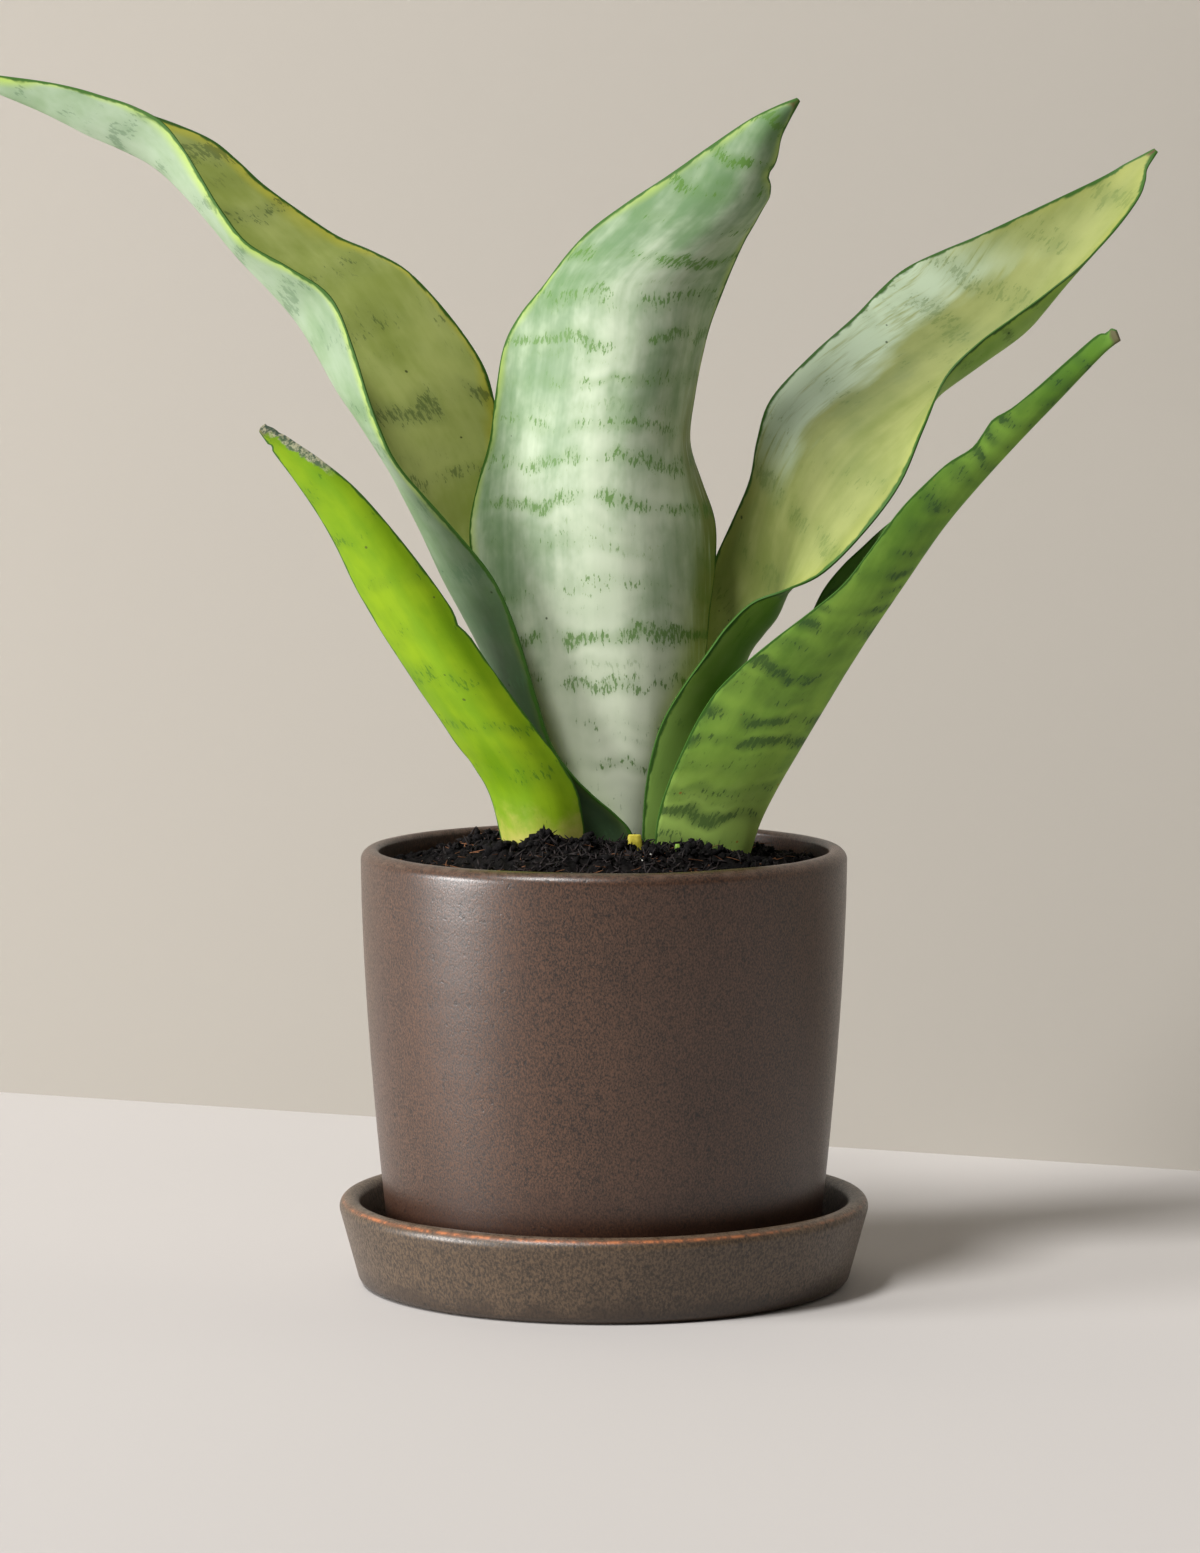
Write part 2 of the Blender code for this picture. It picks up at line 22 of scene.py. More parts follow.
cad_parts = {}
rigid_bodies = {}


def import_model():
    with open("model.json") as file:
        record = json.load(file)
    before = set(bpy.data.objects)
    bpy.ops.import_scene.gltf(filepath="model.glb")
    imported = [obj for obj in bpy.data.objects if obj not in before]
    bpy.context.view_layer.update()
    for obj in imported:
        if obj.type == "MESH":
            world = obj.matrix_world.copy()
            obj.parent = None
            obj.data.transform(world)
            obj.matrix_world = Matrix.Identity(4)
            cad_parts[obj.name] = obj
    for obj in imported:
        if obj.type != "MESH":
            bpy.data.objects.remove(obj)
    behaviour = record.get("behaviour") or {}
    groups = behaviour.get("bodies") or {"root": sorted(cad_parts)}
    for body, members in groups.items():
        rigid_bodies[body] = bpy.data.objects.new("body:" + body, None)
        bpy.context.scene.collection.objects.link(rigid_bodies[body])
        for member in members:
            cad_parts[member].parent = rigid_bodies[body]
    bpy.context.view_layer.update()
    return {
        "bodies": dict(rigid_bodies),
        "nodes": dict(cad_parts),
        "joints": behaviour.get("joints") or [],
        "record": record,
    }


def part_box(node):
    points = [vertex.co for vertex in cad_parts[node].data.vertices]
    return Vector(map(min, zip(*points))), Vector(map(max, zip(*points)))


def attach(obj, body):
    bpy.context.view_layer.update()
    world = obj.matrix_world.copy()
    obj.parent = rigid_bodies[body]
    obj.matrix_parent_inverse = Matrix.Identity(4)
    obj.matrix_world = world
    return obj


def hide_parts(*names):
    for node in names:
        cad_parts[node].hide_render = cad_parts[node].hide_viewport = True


MM = 0.001

Colour = tuple[float, float, float, float]
Pair = tuple[float, float]
Socket = bpy.types.NodeSocket
Value = float | Sequence[float] | Socket
Tree = bpy.types.NodeTree
Material = bpy.types.Material
Thing = bpy.types.Object
Shape = bmesh.types.BMesh
Vertex = bmesh.types.BMVert

log = logging.getLogger("potted_snake_plant")


def srgb(red: float, green: float, blue: float) -> Colour:
    """Turns screen values into the linear colour that the shaders take.

    Args:
        red: Red, 0 to 255.
        green: Green, 0 to 255.
        blue: Blue, 0 to 255.

    Returns:
        The linear RGBA colour.
    """
    parts = [value / 255 for value in (red, green, blue)]
    linear = [p / 12.92 if p <= 0.04045 else ((p + 0.055) / 1.055) ** 2.4 for p in parts]
    return (*linear, 1.0)


# --- Shader wiring -------------------------------------------------------------------------------


class Wiring:
    """Adds nodes to one shader tree and joins them."""

    MIX_INPUTS = (0, 6, 7)  # a Mix node's share and its two colours

    def __init__(self, tree: Tree) -> None:
        """Takes the tree that the nodes go into."""
        self.tree = tree

    def node(self, kind: str, **settings: object) -> bpy.types.Node:
        """Adds a node and sets its properties.

        Args:
            kind: The node's type name.
            **settings: Properties of the node.

        Returns:
            The new node.
        """
        made = self.tree.nodes.new(kind)
        for name, value in settings.items():
            setattr(made, name, value)
        return made

    def feed(self, socket: Socket, value: Value) -> None:
        """Joins an output to an input socket, or sets the input's own value.

        Args:
            socket: The input socket.
            value: An output socket, a number or a list of numbers.
        """
        if isinstance(value, Socket):
            self.tree.links.new(value, socket)
        else:
            socket.default_value = value

    def fill(self, node: bpy.types.Node, *values: Value, **named: Value) -> bpy.types.Node:
        """Feeds a node's inputs.

        Args:
            node: The node.
            *values: What goes into its first inputs, in order.
            **named: What goes into others by name, with _ for a space.

        Returns:
            The same node.
        """
        for socket, value in zip(node.inputs, values):
            self.feed(socket, value)
        for name, value in named.items():
            self.feed(node.inputs[name.replace("_", " ")], value)
        return node

    def math(self, operation: str, *values: Value) -> Socket:
        """Adds a Math node of one operation, and gives its output."""
        return self.fill(self.node("ShaderNodeMath", operation=operation), *values).outputs[0]

    def times(self, *values: Value) -> Value:
        """Multiplies numbers in turn."""
        return reduce(lambda first, second: self.math("MULTIPLY", first, second), values)

    def plus(self, *values: Value) -> Value:
        """Adds numbers in turn."""
        return reduce(lambda first, second: self.math("ADD", first, second), values)

    def minus(self, first: Value, second: Value) -> Socket:
        """Takes the second number from the first."""
        return self.math("SUBTRACT", first, second)

    def swing(self, share: Value, reach: Value) -> Value:
        """Turns a share of 0 to 1 into a swing of a whole reach about 0."""
        return self.times(self.minus(share, 0.5), reach)

    def ease(self, value: Value, low: Value, high: Value, start: Value = 0.0, end: Value = 1.0) -> Socket:
        """Maps a value smoothly from low and high to start and end, and holds it beyond them."""
        made = self.node("ShaderNodeMapRange", interpolation_type="SMOOTHSTEP")
        return self.fill(made, value, low, high, start, end).outputs[0]

    def mix(self, share: Value, first: Value, second: Value, blend: str = "MIX") -> Socket:
        """Mixes two colours.

        Args:
            share: The share of the second one.
            first: The colour at 0.
            second: The colour at 1.
            blend: How they blend.

        Returns:
            The mixed colour.
        """
        made = self.node("ShaderNodeMix", data_type="RGBA", blend_type=blend)
        for index, value in zip(self.MIX_INPUTS, (share, first, second)):
            self.feed(made.inputs[index], value)
        return made.outputs[2]

    def laid(self, colour: Value, over: Value, *masks: Value) -> Socket:
        """Lays a second colour over the first, as far as all the masks let it show."""
        return self.mix(self.times(*masks), colour, over)

    def noise(
        self, vector: Value, size: Value, detail: float = 2.0, rough: float = 0.5, by: Sequence[float] = ()
    ) -> Socket:
        """Adds fractal noise.

        Args:
            vector: Where it is read.
            size: The width of its largest patches, in the vector's units.
            detail: How many finer octaves it has.
            rough: How strong those are.
            by: Factors on the vector's three numbers: a small one draws the patches out.

        Returns:
            The noise, about 0.5 on average.
        """
        if by:
            drawn_out = self.node("ShaderNodeVectorMath", operation="MULTIPLY")
            vector = self.fill(drawn_out, vector, by).outputs[0]
        scale = self.math("DIVIDE", 1.0, size) if isinstance(size, Socket) else 1 / size
        made = self.node("ShaderNodeTexNoise")
        return self.fill(made, Vector=vector, Scale=scale, Detail=detail, Roughness=rough).outputs[0]

    def parts(self, vector: Value) -> tuple[Socket, ...]:
        """Splits a vector into its three numbers."""
        return tuple(self.fill(self.node("ShaderNodeSeparateXYZ"), vector).outputs)

    def joined(self, x: Value, y: Value, z: Value = 0.0) -> Socket:
        """Joins three numbers into a vector."""
        return self.fill(self.node("ShaderNodeCombineXYZ"), x, y, z).outputs[0]

    def use(self, group: Tree, **inputs: Value) -> bpy.types.NodeOutputs:
        """Places a node group, feeds its inputs by name and gives its outputs."""
        return self.fill(self.node("ShaderNodeGroup", node_tree=group), **inputs).outputs

    def bump(self, height: Value, distance: float, strength: float) -> Socket:
        """Bends the normal by a relief of 0 to 1, where 1 stands a distance high."""
        made = self.node("ShaderNodeBump")
        return self.fill(made, Height=height, Distance=distance, Strength=strength).outputs[0]


class Group(Wiring):
    """A shader node group while it is wired."""

    def __init__(
        self, name: str, vectors: Sequence[str], numbers: dict[str, float], outputs: Sequence[str]
    ) -> None:
        """Starts the group.

        Args:
            name: Its name.
            vectors: The names of its vector inputs.
            numbers: Its number inputs, with their defaults.
            outputs: The names of its outputs, all of them numbers.
        """
        super().__init__(bpy.data.node_groups.new(name, "ShaderNodeTree"))
        sockets = self.tree.interface
        for label in vectors:
            sockets.new_socket(label, in_out="INPUT", socket_type="NodeSocketVector")
        for label, default in numbers.items():
            made = sockets.new_socket(label, in_out="INPUT", socket_type="NodeSocketFloat")
            made.default_value = default
        for label in outputs:
            sockets.new_socket(label, in_out="OUTPUT", socket_type="NodeSocketFloat")
        self.given = self.node("NodeGroupInput").outputs
        self.out = self.node("NodeGroupOutput")

    def done(self, **outputs: Value) -> Tree:
        """Feeds the outputs by name, and gives the finished group."""
        self.fill(self.out, **outputs)
        return self.tree


class Effects:
    """The node groups that several finishes share, each built when it is first asked for."""

    @cached_property
    def bands(self) -> Tree:
        """Builds the broken crossbands of a blade, read along its length.

        Returns:
            The group, whose mask is 1 in a band.
        """
        numbers = {"Spacing": 0.01, "Width": 0.3, "Break": 0.8, "Soft": 0.4}
        w = Group("Crossbands", ["Blade"], numbers, ["Mask"])
        blade = w.given["Blade"]
        _, along, seed = w.parts(blade)
        lift = w.swing(w.noise(blade, 22 * MM, 3, 0.55, (1.0, 0.55, 1.0)), 22 * MM)
        level = w.math("DIVIDE", w.plus(along, lift), w.given["Spacing"])
        line = w.ease(w.math("PINGPONG", level, 1.0), w.given["Width"], 0.0)
        order = w.node("ShaderNodeTexWhiteNoise", noise_dimensions="2D")
        w.fill(order, Vector=w.joined(w.math("ROUND", w.times(level, 0.5)), seed))
        each = w.ease(order.outputs["Value"], 0.0, 0.8, 0.35, 1.0)
        patch = w.ease(w.noise(blade, 15 * MM, 2, 0.5, (1.0, 0.5, 1.0)), 0.34, 0.58, 0.2, 1.0)
        core = w.times(line, each, patch)
        dash = w.ease(w.noise(blade, 0.9 * MM, 3, 0.65, (1.0, 0.3, 1.0)), 0.28, 0.72)
        gate = w.minus(1.0, w.times(core, w.given["Break"]))
        ticks = w.ease(dash, gate, w.plus(gate, 0.28))
        return w.done(Mask=w.math("MAXIMUM", ticks, w.times(core, w.given["Soft"])))

    @cached_property
    def streaks(self) -> Tree:
        """Builds the lengthwise streaks of a blade.

        Returns:
            The group, with broad streaks as its value and fine ones beside it.
        """
        w = Group("Lengthwise streaks", ["Blade"], {}, ["Value", "Fine"])
        broad = w.noise(w.given["Blade"], 4.5 * MM, 3, 0.55, (1.0, 0.05, 1.0))
        fine = w.noise(w.given["Blade"], 0.7 * MM, 2, 0.6, (1.0, 0.03, 1.0))
        return w.done(Value=w.ease(broad, 0.3, 0.7), Fine=fine)

    @cached_property
    def margin(self) -> Tree:
        """Builds the thin line on a blade's margin and the paler zone inside it.

        Returns:
            The group, with a mask for each.
        """
        w = Group("Margin", ["Edges", "Blade"], {"Line": 0.001, "Zone": 0.005}, ["Line", "Zone"])
        near, far, _ = w.parts(w.given["Edges"])
        shake = w.noise(w.given["Blade"], 5 * MM, 3, 0.6, (1.0, 0.5, 1.0))
        sway = w.noise(w.given["Blade"], 14 * MM, 2, 0.5, (1.0, 0.3, 1.0))
        nearest = w.math("MINIMUM", near, far)
        uneven = w.times(w.given["Line"], w.ease(shake, 0.32, 0.68, 0.6, 1.6))
        spread = w.times(w.given["Zone"], w.ease(sway, 0.3, 0.7, 0.4, 1.5))
        line = w.ease(nearest, uneven, w.times(uneven, 0.45))
        return w.done(Line=line, Zone=w.ease(nearest, spread, 0.0))

    @cached_property
    def flecks(self) -> Tree:
        """Builds scattered specks of uneven size.

        Returns:
            The group, whose mask is 1 in a speck.
        """
        w = Group("Flecks", ["Vector"], {"Cell": 0.004, "Size": 0.2, "Share": 0.3}, ["Mask"])
        cells = w.node("ShaderNodeTexVoronoi")
        w.fill(cells, Vector=w.given["Vector"], Scale=w.math("DIVIDE", 1.0, w.given["Cell"]))
        pick, wide, _ = w.parts(cells.outputs["Color"])
        radius = w.times(w.given["Size"], w.ease(wide, 0.0, 1.0, 0.4, 1.0))
        dot = w.ease(cells.outputs["Distance"], radius, w.times(radius, 0.5))
        return w.done(Mask=w.times(dot, w.math("LESS_THAN", pick, w.given["Share"])))

    @cached_property
    def grain(self) -> Tree:
        """Builds the fired grain of stoneware.

        Returns:
            The group, with its clouds, its fine grain, its small pits and its relief.
        """
        w = Group("Fired grain", ["Vector"], {"Size": 0.001}, ["Cloud", "Grain", "Pit", "Height"])
        at = w.given["Vector"]
        cloud = w.noise(at, 26 * MM, 4, 0.6, (1.0, 1.0, 0.5))
        fine = w.noise(at, w.given["Size"], 3.0, 0.62, (1.0, 1.0, 0.62))
        pit = w.ease(w.noise(at, 1.9 * MM, 2, 0.5, (1.0, 1.0, 0.75)), 0.36, 0.27)
        return w.done(
            Cloud=w.ease(cloud, 0.3, 0.7),
            Grain=w.ease(fine, 0.34, 0.66),
            Pit=pit,
            Height=w.minus(fine, w.times(pit, 0.45)),
        )

    @cached_property
    def worn(self) -> Tree:
        """Builds a broken line round an edge at one height: wear, rust, and on the pot's rim partly a
        painted highlight.

        Returns:
            The group, whose mask is 1 on the broken line.
        """
        w = Group("Worn edge", ["Vector"], {"Level": 0.1, "Width": 0.002, "Break": 0.5}, ["Mask"])
        away = w.math("ABSOLUTE", w.minus(w.parts(w.given["Vector"])[2], w.given["Level"]))
        torn = w.noise(w.given["Vector"], 3.2 * MM, 5, 0.7)
        kept = w.ease(torn, w.minus(w.given["Break"], 0.06), w.plus(w.given["Break"], 0.08))
        return w.done(Mask=w.times(w.ease(away, w.given["Width"], 0.0), kept))


EFFECTS = Effects()


class Finish(Wiring):
    """A material while it is wired."""

    def __init__(self, name: str) -> None:
        """Starts the material.

        Args:
            name: Its name.
        """
        self.made = bpy.data.materials.new(name)
        self.made.use_nodes = True
        super().__init__(self.made.node_tree)
        self.shader = self.tree.nodes["Principled BSDF"]

    def place(self) -> Socket:
        """Reads the object's own coordinates, in metres."""
        return self.node("ShaderNodeTexCoord").outputs["Object"]

    def done(self, **inputs: Value) -> Material:
        """Feeds the Principled shader by name, and gives the finished material."""
        self.fill(self.shader, **inputs)
        return self.made


# --- Finishes ------------------------------------------------------------------------------------


@dataclass(frozen=True)
class Stoneware:
    """A fired stoneware body: its tones, its grain and a lighter broken line round one edge, which is wear,
    on the pot's rim partly a painted highlight.
    """

    name: str
    light: Colour
    dark: Colour
    foot: Colour  # tone low on the wall
    pit: Colour
    # the lighter line's tone: wear, and on the pot's rim partly a painted highlight
    wear_and_sheen: Colour
    foot_level: Pair  # heights between which the foot's tone fades out
    grain: float
    relief: float
    gloss: Pair  # roughness of the grain's hollows and crests
    wear_and_sheen_level: float
    wear_and_sheen_width: float
    wear_and_sheen_break: float
    wear_and_sheen_strength: float
    cloud_share: float = 0.14  # of the tone; the fine grain gives the rest
    index: float = 1.5  # refraction of its glaze
    specular: float = 0.6

    def material(self) -> Material:
        """Builds the material.

        Returns:
            The material.
        """
        w = Finish(self.name)
        place = w.place()
        grain = w.use(EFFECTS.grain, Vector=place, Size=self.grain)
        clouds = w.times(grain["Cloud"], self.cloud_share)
        share = w.plus(clouds, w.times(grain["Grain"], 1 - self.cloud_share))
        colour = w.mix(share, self.dark, self.light)
        ragged = w.plus(w.parts(place)[2], w.swing(w.noise(place, 9 * MM, 4), 16 * MM))
        colour = w.laid(colour, self.foot, w.ease(ragged, self.foot_level[1], self.foot_level[0]), 0.75)
        colour = w.laid(colour, self.pit, grain["Pit"], 0.7)
        # the lighter broken line round the edge: wear, on the pot's rim partly a painted highlight
        level, width, gap = self.wear_and_sheen_level, self.wear_and_sheen_width, self.wear_and_sheen_break
        worn = w.use(EFFECTS.worn, Vector=place, Level=level, Width=width, Break=gap)
        colour = w.laid(colour, self.wear_and_sheen, worn["Mask"], self.wear_and_sheen_strength)
        return w.done(
            Base_Color=self.extra(w, place, colour),
            Roughness=w.ease(grain["Grain"], 0.0, 1.0, *self.gloss),
            IOR=self.index,
            Specular_IOR_Level=self.specular,
            Normal=w.bump(grain["Height"], self.relief, 0.4),
        )

    def extra(self, w: Finish, place: Value, colour: Value) -> Value:
        """Adds what only one kind of ware has: nothing on plain ware."""
        return colour


@dataclass(frozen=True)
class GlazedSaucer(Stoneware):
    """The saucer's ware: pitted, with a rust line where the glaze broke on the lip's outer edge."""

    rust: Colour = (0.0, 0.0, 0.0, 1.0)
    rust_light: Colour = (0.0, 0.0, 0.0, 1.0)
    rust_level: float = 0.0
    rust_radius: float = 0.0
    rust_facing: Pair = (0.0, -1.0)

    def extra(self, w: Finish, place: Value, colour: Value) -> Value:
        """Adds the broken rust line, with a lighter one inside it.

        Args:
            w: The material's wiring.
            place: The object's coordinates.
            colour: The colour so far.

        Returns:
            The colour with the line.
        """
        x, y, _ = w.parts(place)
        radius = w.math("SQRT", w.plus(w.times(x, x), w.times(y, y)))
        outside = w.ease(radius, self.rust_radius - 0.3 * MM, self.rust_radius + 0.5 * MM)
        reach = w.plus(w.times(x, self.rust_facing[0]), w.times(y, self.rust_facing[1]))
        toward = w.ease(w.math("DIVIDE", reach, radius), 0.35, 0.9, 0.25, 1.0)
        for tone, width, gap in ((self.rust, 0.9 * MM, 0.4), (self.rust_light, 0.6 * MM, 0.52)):
            line = w.use(EFFECTS.worn, Vector=place, Level=self.rust_level, Width=width, Break=gap)
            colour = w.laid(colour, tone, line["Mask"], outside, toward)
        return colour


@dataclass(frozen=True)
class LeafSkin:
    """One face of a leaf: its tissue colours, crossbands, streaks, margin and dry tip."""

    name: str
    pale: Colour
    body: Colour
    band: Colour
    zone: Colour
    foot: Colour
    line: Colour = srgb(52, 92, 24)
    tip: Colour = srgb(96, 74, 44)
    fleck: Colour = srgb(40, 52, 22)
    rib: Colour = srgb(70, 110, 40)
    silver: float = 0.5  # mean share of the pale tissue
    silver_rise: float = 0.0  # change of that share from foot to tip
    near_painted_shade: float = 0.0  # how much greener and darker the near half is painted: painted shade where the side light falls
    band_spacing: float = 8.5 * MM
    band_width: float = 0.65
    band_break: float = 0.8
    band_soft: float = 0.4  # strength of a band's even ground under its ticks
    band_strength: float = 0.6
    band_top: float = 0.0  # how much stronger the bands are near the tip
    streaks: float = 0.14
    zone_width: float = 6 * MM
    zone_strength: float = 0.5
    line_width: float = 1.2 * MM
    foot_reach: float = 30 * MM
    tip_reach: float = 4 * MM
    fleck_share: float = 0.1
    rib_strength: float = 0.0
    scar: Colour = srgb(90, 92, 70)  # corky edge below the tip
    scar_light: Colour = srgb(172, 168, 140)
    scar_from: float = 1.0
    strip: Colour = srgb(196, 214, 186)  # streaks beside the far margin
    strip_strength: float = 0.0
    strip_span: Pair = (0.5, 0.9)
    strip_reach: Pair = (21 * MM, 13 * MM)
    gloss: float = 0.58
    specular: float = 0.28
    seed: float = 0.0

    def material(self, length: float) -> Material:
        """Builds the material of a leaf that is that long along its midrib."""
        return LeafPainter(self, length).painted()


class LeafPainter(Finish):
    """Paints one face of a leaf, a layer over the last."""

    def __init__(self, skin: LeafSkin, length: float) -> None:
        """Lays out the places on the blade that the layers read.

        Args:
            skin: The face's tones and measures.
            length: The leaf's length along its midrib.
        """
        super().__init__(skin.name)
        self.skin, self.length = skin, length
        self.across, self.along, _ = self.parts(self.node("ShaderNodeUVMap", uv_map="Blade").outputs[0])
        self.edges = self.node("ShaderNodeUVMap", uv_map="Edges").outputs[0]
        self.near, self.far, _ = self.parts(self.edges)
        self.blade = self.joined(self.across, self.along, skin.seed)
        self.rise = self.math("DIVIDE", self.along, length)
        self.streak = self.use(EFFECTS.streaks, Blade=self.blade)
        self.mottle = self.ease(self.noise(self.blade, 17 * MM, 4, 0.6, (1.0, 0.6, 1.0)), 0.28, 0.72)
        self.colour = self.tissue()

    def paint(self, tone: Value, *masks: Value) -> None:
        """Lays a tone over the leaf where the masks let it show."""
        self.colour = self.laid(self.colour, tone, *masks)

    def tissue(self) -> Socket:
        """Mixes the green tissue with the pale by height, mottling and streaks, and paints shade on the
        near half where a skin asks for it.

        Returns:
            The bare tissue's colour.
        """
        skin = self.skin
        height = self.swing(self.rise, skin.silver_rise)
        share = self.plus(skin.silver, height, self.swing(self.mottle, 0.55))
        # painted shade: the near half is made greener and darker where the side light falls on it
        if skin.near_painted_shade:
            share = self.minus(share, self.ease(self.near, 34 * MM, 4 * MM, 0.0, skin.near_painted_shade))
        waver = self.swing(self.streak["Value"], skin.streaks)
        return self.mix(self.ease(self.plus(share, waver), 0.0, 1.0), skin.body, skin.pale)

    def strip(self) -> None:
        """Adds a streaky strip of another tone beside the far margin."""
        skin = self.skin
        if not skin.strip_strength:
            return
        ragged = self.noise(self.blade, 5 * MM, 3, 0.5, (1.0, 0.2, 1.0))
        shift = self.swing(ragged, skin.strip_reach[0] * 0.65)
        beside = self.ease(self.plus(self.far, shift), *skin.strip_reach)
        low, high = skin.strip_span
        half = (high - low) / 2
        within = self.ease(self.math("ABSOLUTE", self.minus(self.rise, (low + high) / 2)), half, half * 0.5)
        lines = self.ease(self.noise(self.blade, 1.6 * MM, 3, 0.6, (1.0, 0.08, 1.0)), 0.2, 0.52)
        self.paint(skin.strip, beside, within, lines, skin.strip_strength)

    def midrib(self) -> None:
        """Adds a darker streak along the midrib."""
        if not self.skin.rib_strength:
            return
        sway = self.swing(self.noise(self.blade, 30 * MM, 2), 9 * MM)
        away = self.math("ABSOLUTE", self.plus(self.across, sway))
        worn = self.ease(self.noise(self.blade, 5 * MM, 3, 0.5, (1.0, 0.1, 1.0)), 0.35, 0.6)
        self.paint(self.skin.rib, self.ease(away, 6 * MM, 0.5 * MM), worn, self.skin.rib_strength)

    def ends(self) -> None:
        """Adds the tone near the soil, the small scars and the dry tip."""
        skin = self.skin
        ragged = self.swing(self.noise(self.blade, 8 * MM, 4, 0.6), 24 * MM)
        low = self.ease(self.plus(self.along, ragged), skin.foot_reach, skin.foot_reach * 0.35)
        self.paint(skin.foot, low, 0.85)
        fleck = self.use(EFFECTS.flecks, Vector=self.blade, Cell=5 * MM, Size=0.13, Share=skin.fleck_share)
        self.paint(skin.fleck, fleck["Mask"], 0.8)
        reach = self.plus(self.along, self.times(ragged, 0.25))
        end = self.length
        self.paint(skin.tip, self.ease(reach, end - skin.tip_reach, end - skin.tip_reach * 0.3))

    def bands(self) -> Value:
        """Adds the crossbands, one set broad and faint, one narrow and dark.

        Returns:
            The mask of the dark ones.
        """
        skin = self.skin
        narrow = self.use(
            EFFECTS.bands,
            Blade=self.blade,
            Spacing=skin.band_spacing,
            Width=skin.band_width,
            Break=skin.band_break,
            Soft=skin.band_soft,
        )
        spacing = skin.band_spacing * 0.6
        broad = self.use(EFFECTS.bands, Blade=self.blade, Spacing=spacing, Width=0.9, Break=0.45)
        present = 1.0
        if skin.band_top:
            present = self.plus(1.0, self.ease(self.rise, 0.72, 0.86, 0.0, skin.band_top))
        self.paint(skin.band, broad["Mask"], skin.band_strength * 0.45, present)
        dark = self.times(narrow["Mask"], skin.band_strength, present)
        self.paint(skin.band, dark)
        return dark

    def cork(self) -> None:
        """Adds a corky scar along the near margin, below the tip."""
        skin = self.skin
        if skin.scar_from >= 1:
            return
        shake = self.swing(self.noise(self.blade, 4 * MM, 4, 0.7), 7 * MM)
        beside = self.ease(self.plus(self.near, shake), 2.6 * MM, 1.4 * MM)
        above = self.ease(self.rise, skin.scar_from, skin.scar_from + 0.04)
        mottle = self.ease(self.noise(self.blade, 1.6 * MM, 3, 0.7), 0.4, 0.6)
        self.paint(self.mix(mottle, skin.scar, skin.scar_light), beside, above, 0.9)

    def painted(self) -> Material:
        """Paints every layer over the tissue, in order.

        Returns:
            The material.
        """
        skin = self.skin
        margin = self.use(
            EFFECTS.margin, Edges=self.edges, Blade=self.blade, Line=skin.line_width, Zone=skin.zone_width
        )
        self.paint(skin.zone, margin["Zone"], skin.zone_strength)
        self.strip()
        self.midrib()
        self.ends()
        dark = self.bands()
        self.paint(skin.line, margin["Line"])
        self.cork()
        relief = self.plus(self.times(self.streak["Fine"], 0.6), self.times(dark, 0.15))
        return self.done(
            Base_Color=self.colour,
            Roughness=self.ease(self.mottle, 0.0, 1.0, skin.gloss - 0.05, skin.gloss + 0.08),
            Specular_IOR_Level=skin.specular,
            Normal=self.bump(relief, 0.12 * MM, 0.35),
        )


@dataclass(frozen=True)
class Plain:
    """A dull natural finish with clouded colour: soil, fibre, grit, sheath or root."""

    name: str
    light: Colour
    dark: Colour
    patch: float
    rough: float
    relief: float = 0.3 * MM
    speck_and_glint: Colour | None = None  # scattered specks of another colour: grains, and on the crumbs painted glints
    specular: float = 0.3

    def material(self) -> Material:
        """Builds the material.

        Returns:
            The material.
        """
        w = Finish(self.name)
        place = w.place()
        cloud = w.ease(w.noise(place, self.patch, 5, 0.65), 0.32, 0.68)
        colour = w.mix(cloud, self.dark, self.light)
        # specks of another colour: real grains, and on the crumbs painted glints
        if self.speck_and_glint:
            specks_and_glints = w.use(EFFECTS.flecks, Vector=place, Cell=1.6 * MM, Size=0.34, Share=0.09)
            colour = w.laid(colour, self.speck_and_glint, specks_and_glints["Mask"], 0.8)
        return w.done(
            Base_Color=colour,
            Roughness=w.ease(cloud, 0.0, 1.0, self.rough, self.rough - 0.12),
            Specular_IOR_Level=self.specular,
            Normal=w.bump(w.noise(place, self.patch * 0.4, 4, 0.7), self.relief, 0.8),
        )


# --- Meshes --------------------------------------------------------------------------------------


def closed_off(shape: Shape, name: str) -> bpy.types.Mesh:
    """Turns a finished shape into a mesh, and frees the shape.

    Args:
        shape: The shape.
        name: The mesh's name.

    Returns:
        The mesh.
    """
    mesh = bpy.data.meshes.new(name)
    shape.to_mesh(mesh)
    shape.free()
    return mesh


def shown(name: str, data: bpy.types.ID) -> Thing:
    """Puts an object into the scene.

    Args:
        name: Its name.
        data: Its mesh, light or camera.

    Returns:
        The object.
    """
    made = bpy.data.objects.new(name, data)
    bpy.context.scene.collection.objects.link(made)
    return made


def finish_piece(
    shape: Shape, name: str, materials: Sequence[Material], node: str | None, slot: str
) -> Thing:
    """Makes the object of a finished mesh, hangs it on the frame's root body and hides the node that it
    replaces, if any.

    Args:
        shape: The mesh, freed here.
        name: The piece's name.
        materials: Its materials, in slot order.
        node: The node that it replaces, if it does.
        slot: Not used.

    Returns:
        The object.
    """
    mesh = closed_off(shape, name)
    mesh.shade_smooth()
    for material in materials:
        mesh.materials.append(material)
    made = shown(name, mesh)
    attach(made, "root")
    if node:
        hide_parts(node)
    log.info("%s: %d faces", name, len(mesh.polygons))
    return made


def arc(centre: Pair, radius: float, start: float, end: float, steps: int) -> list[Pair]:
    """Lays points along an arc of a profile, its angles in degrees from outwards to upwards."""
    turns = [math.radians(start + (end - start) * i / steps) for i in range(steps + 1)]
    return [(centre[0] + radius * math.cos(t), centre[1] + radius * math.sin(t)) for t in turns]


def outward(point: Vector) -> Vector:
    """Gives the level direction from the axis to a point."""
    return Vector((point.x, point.y, 0)) / max(math.hypot(point.x, point.y), MM)


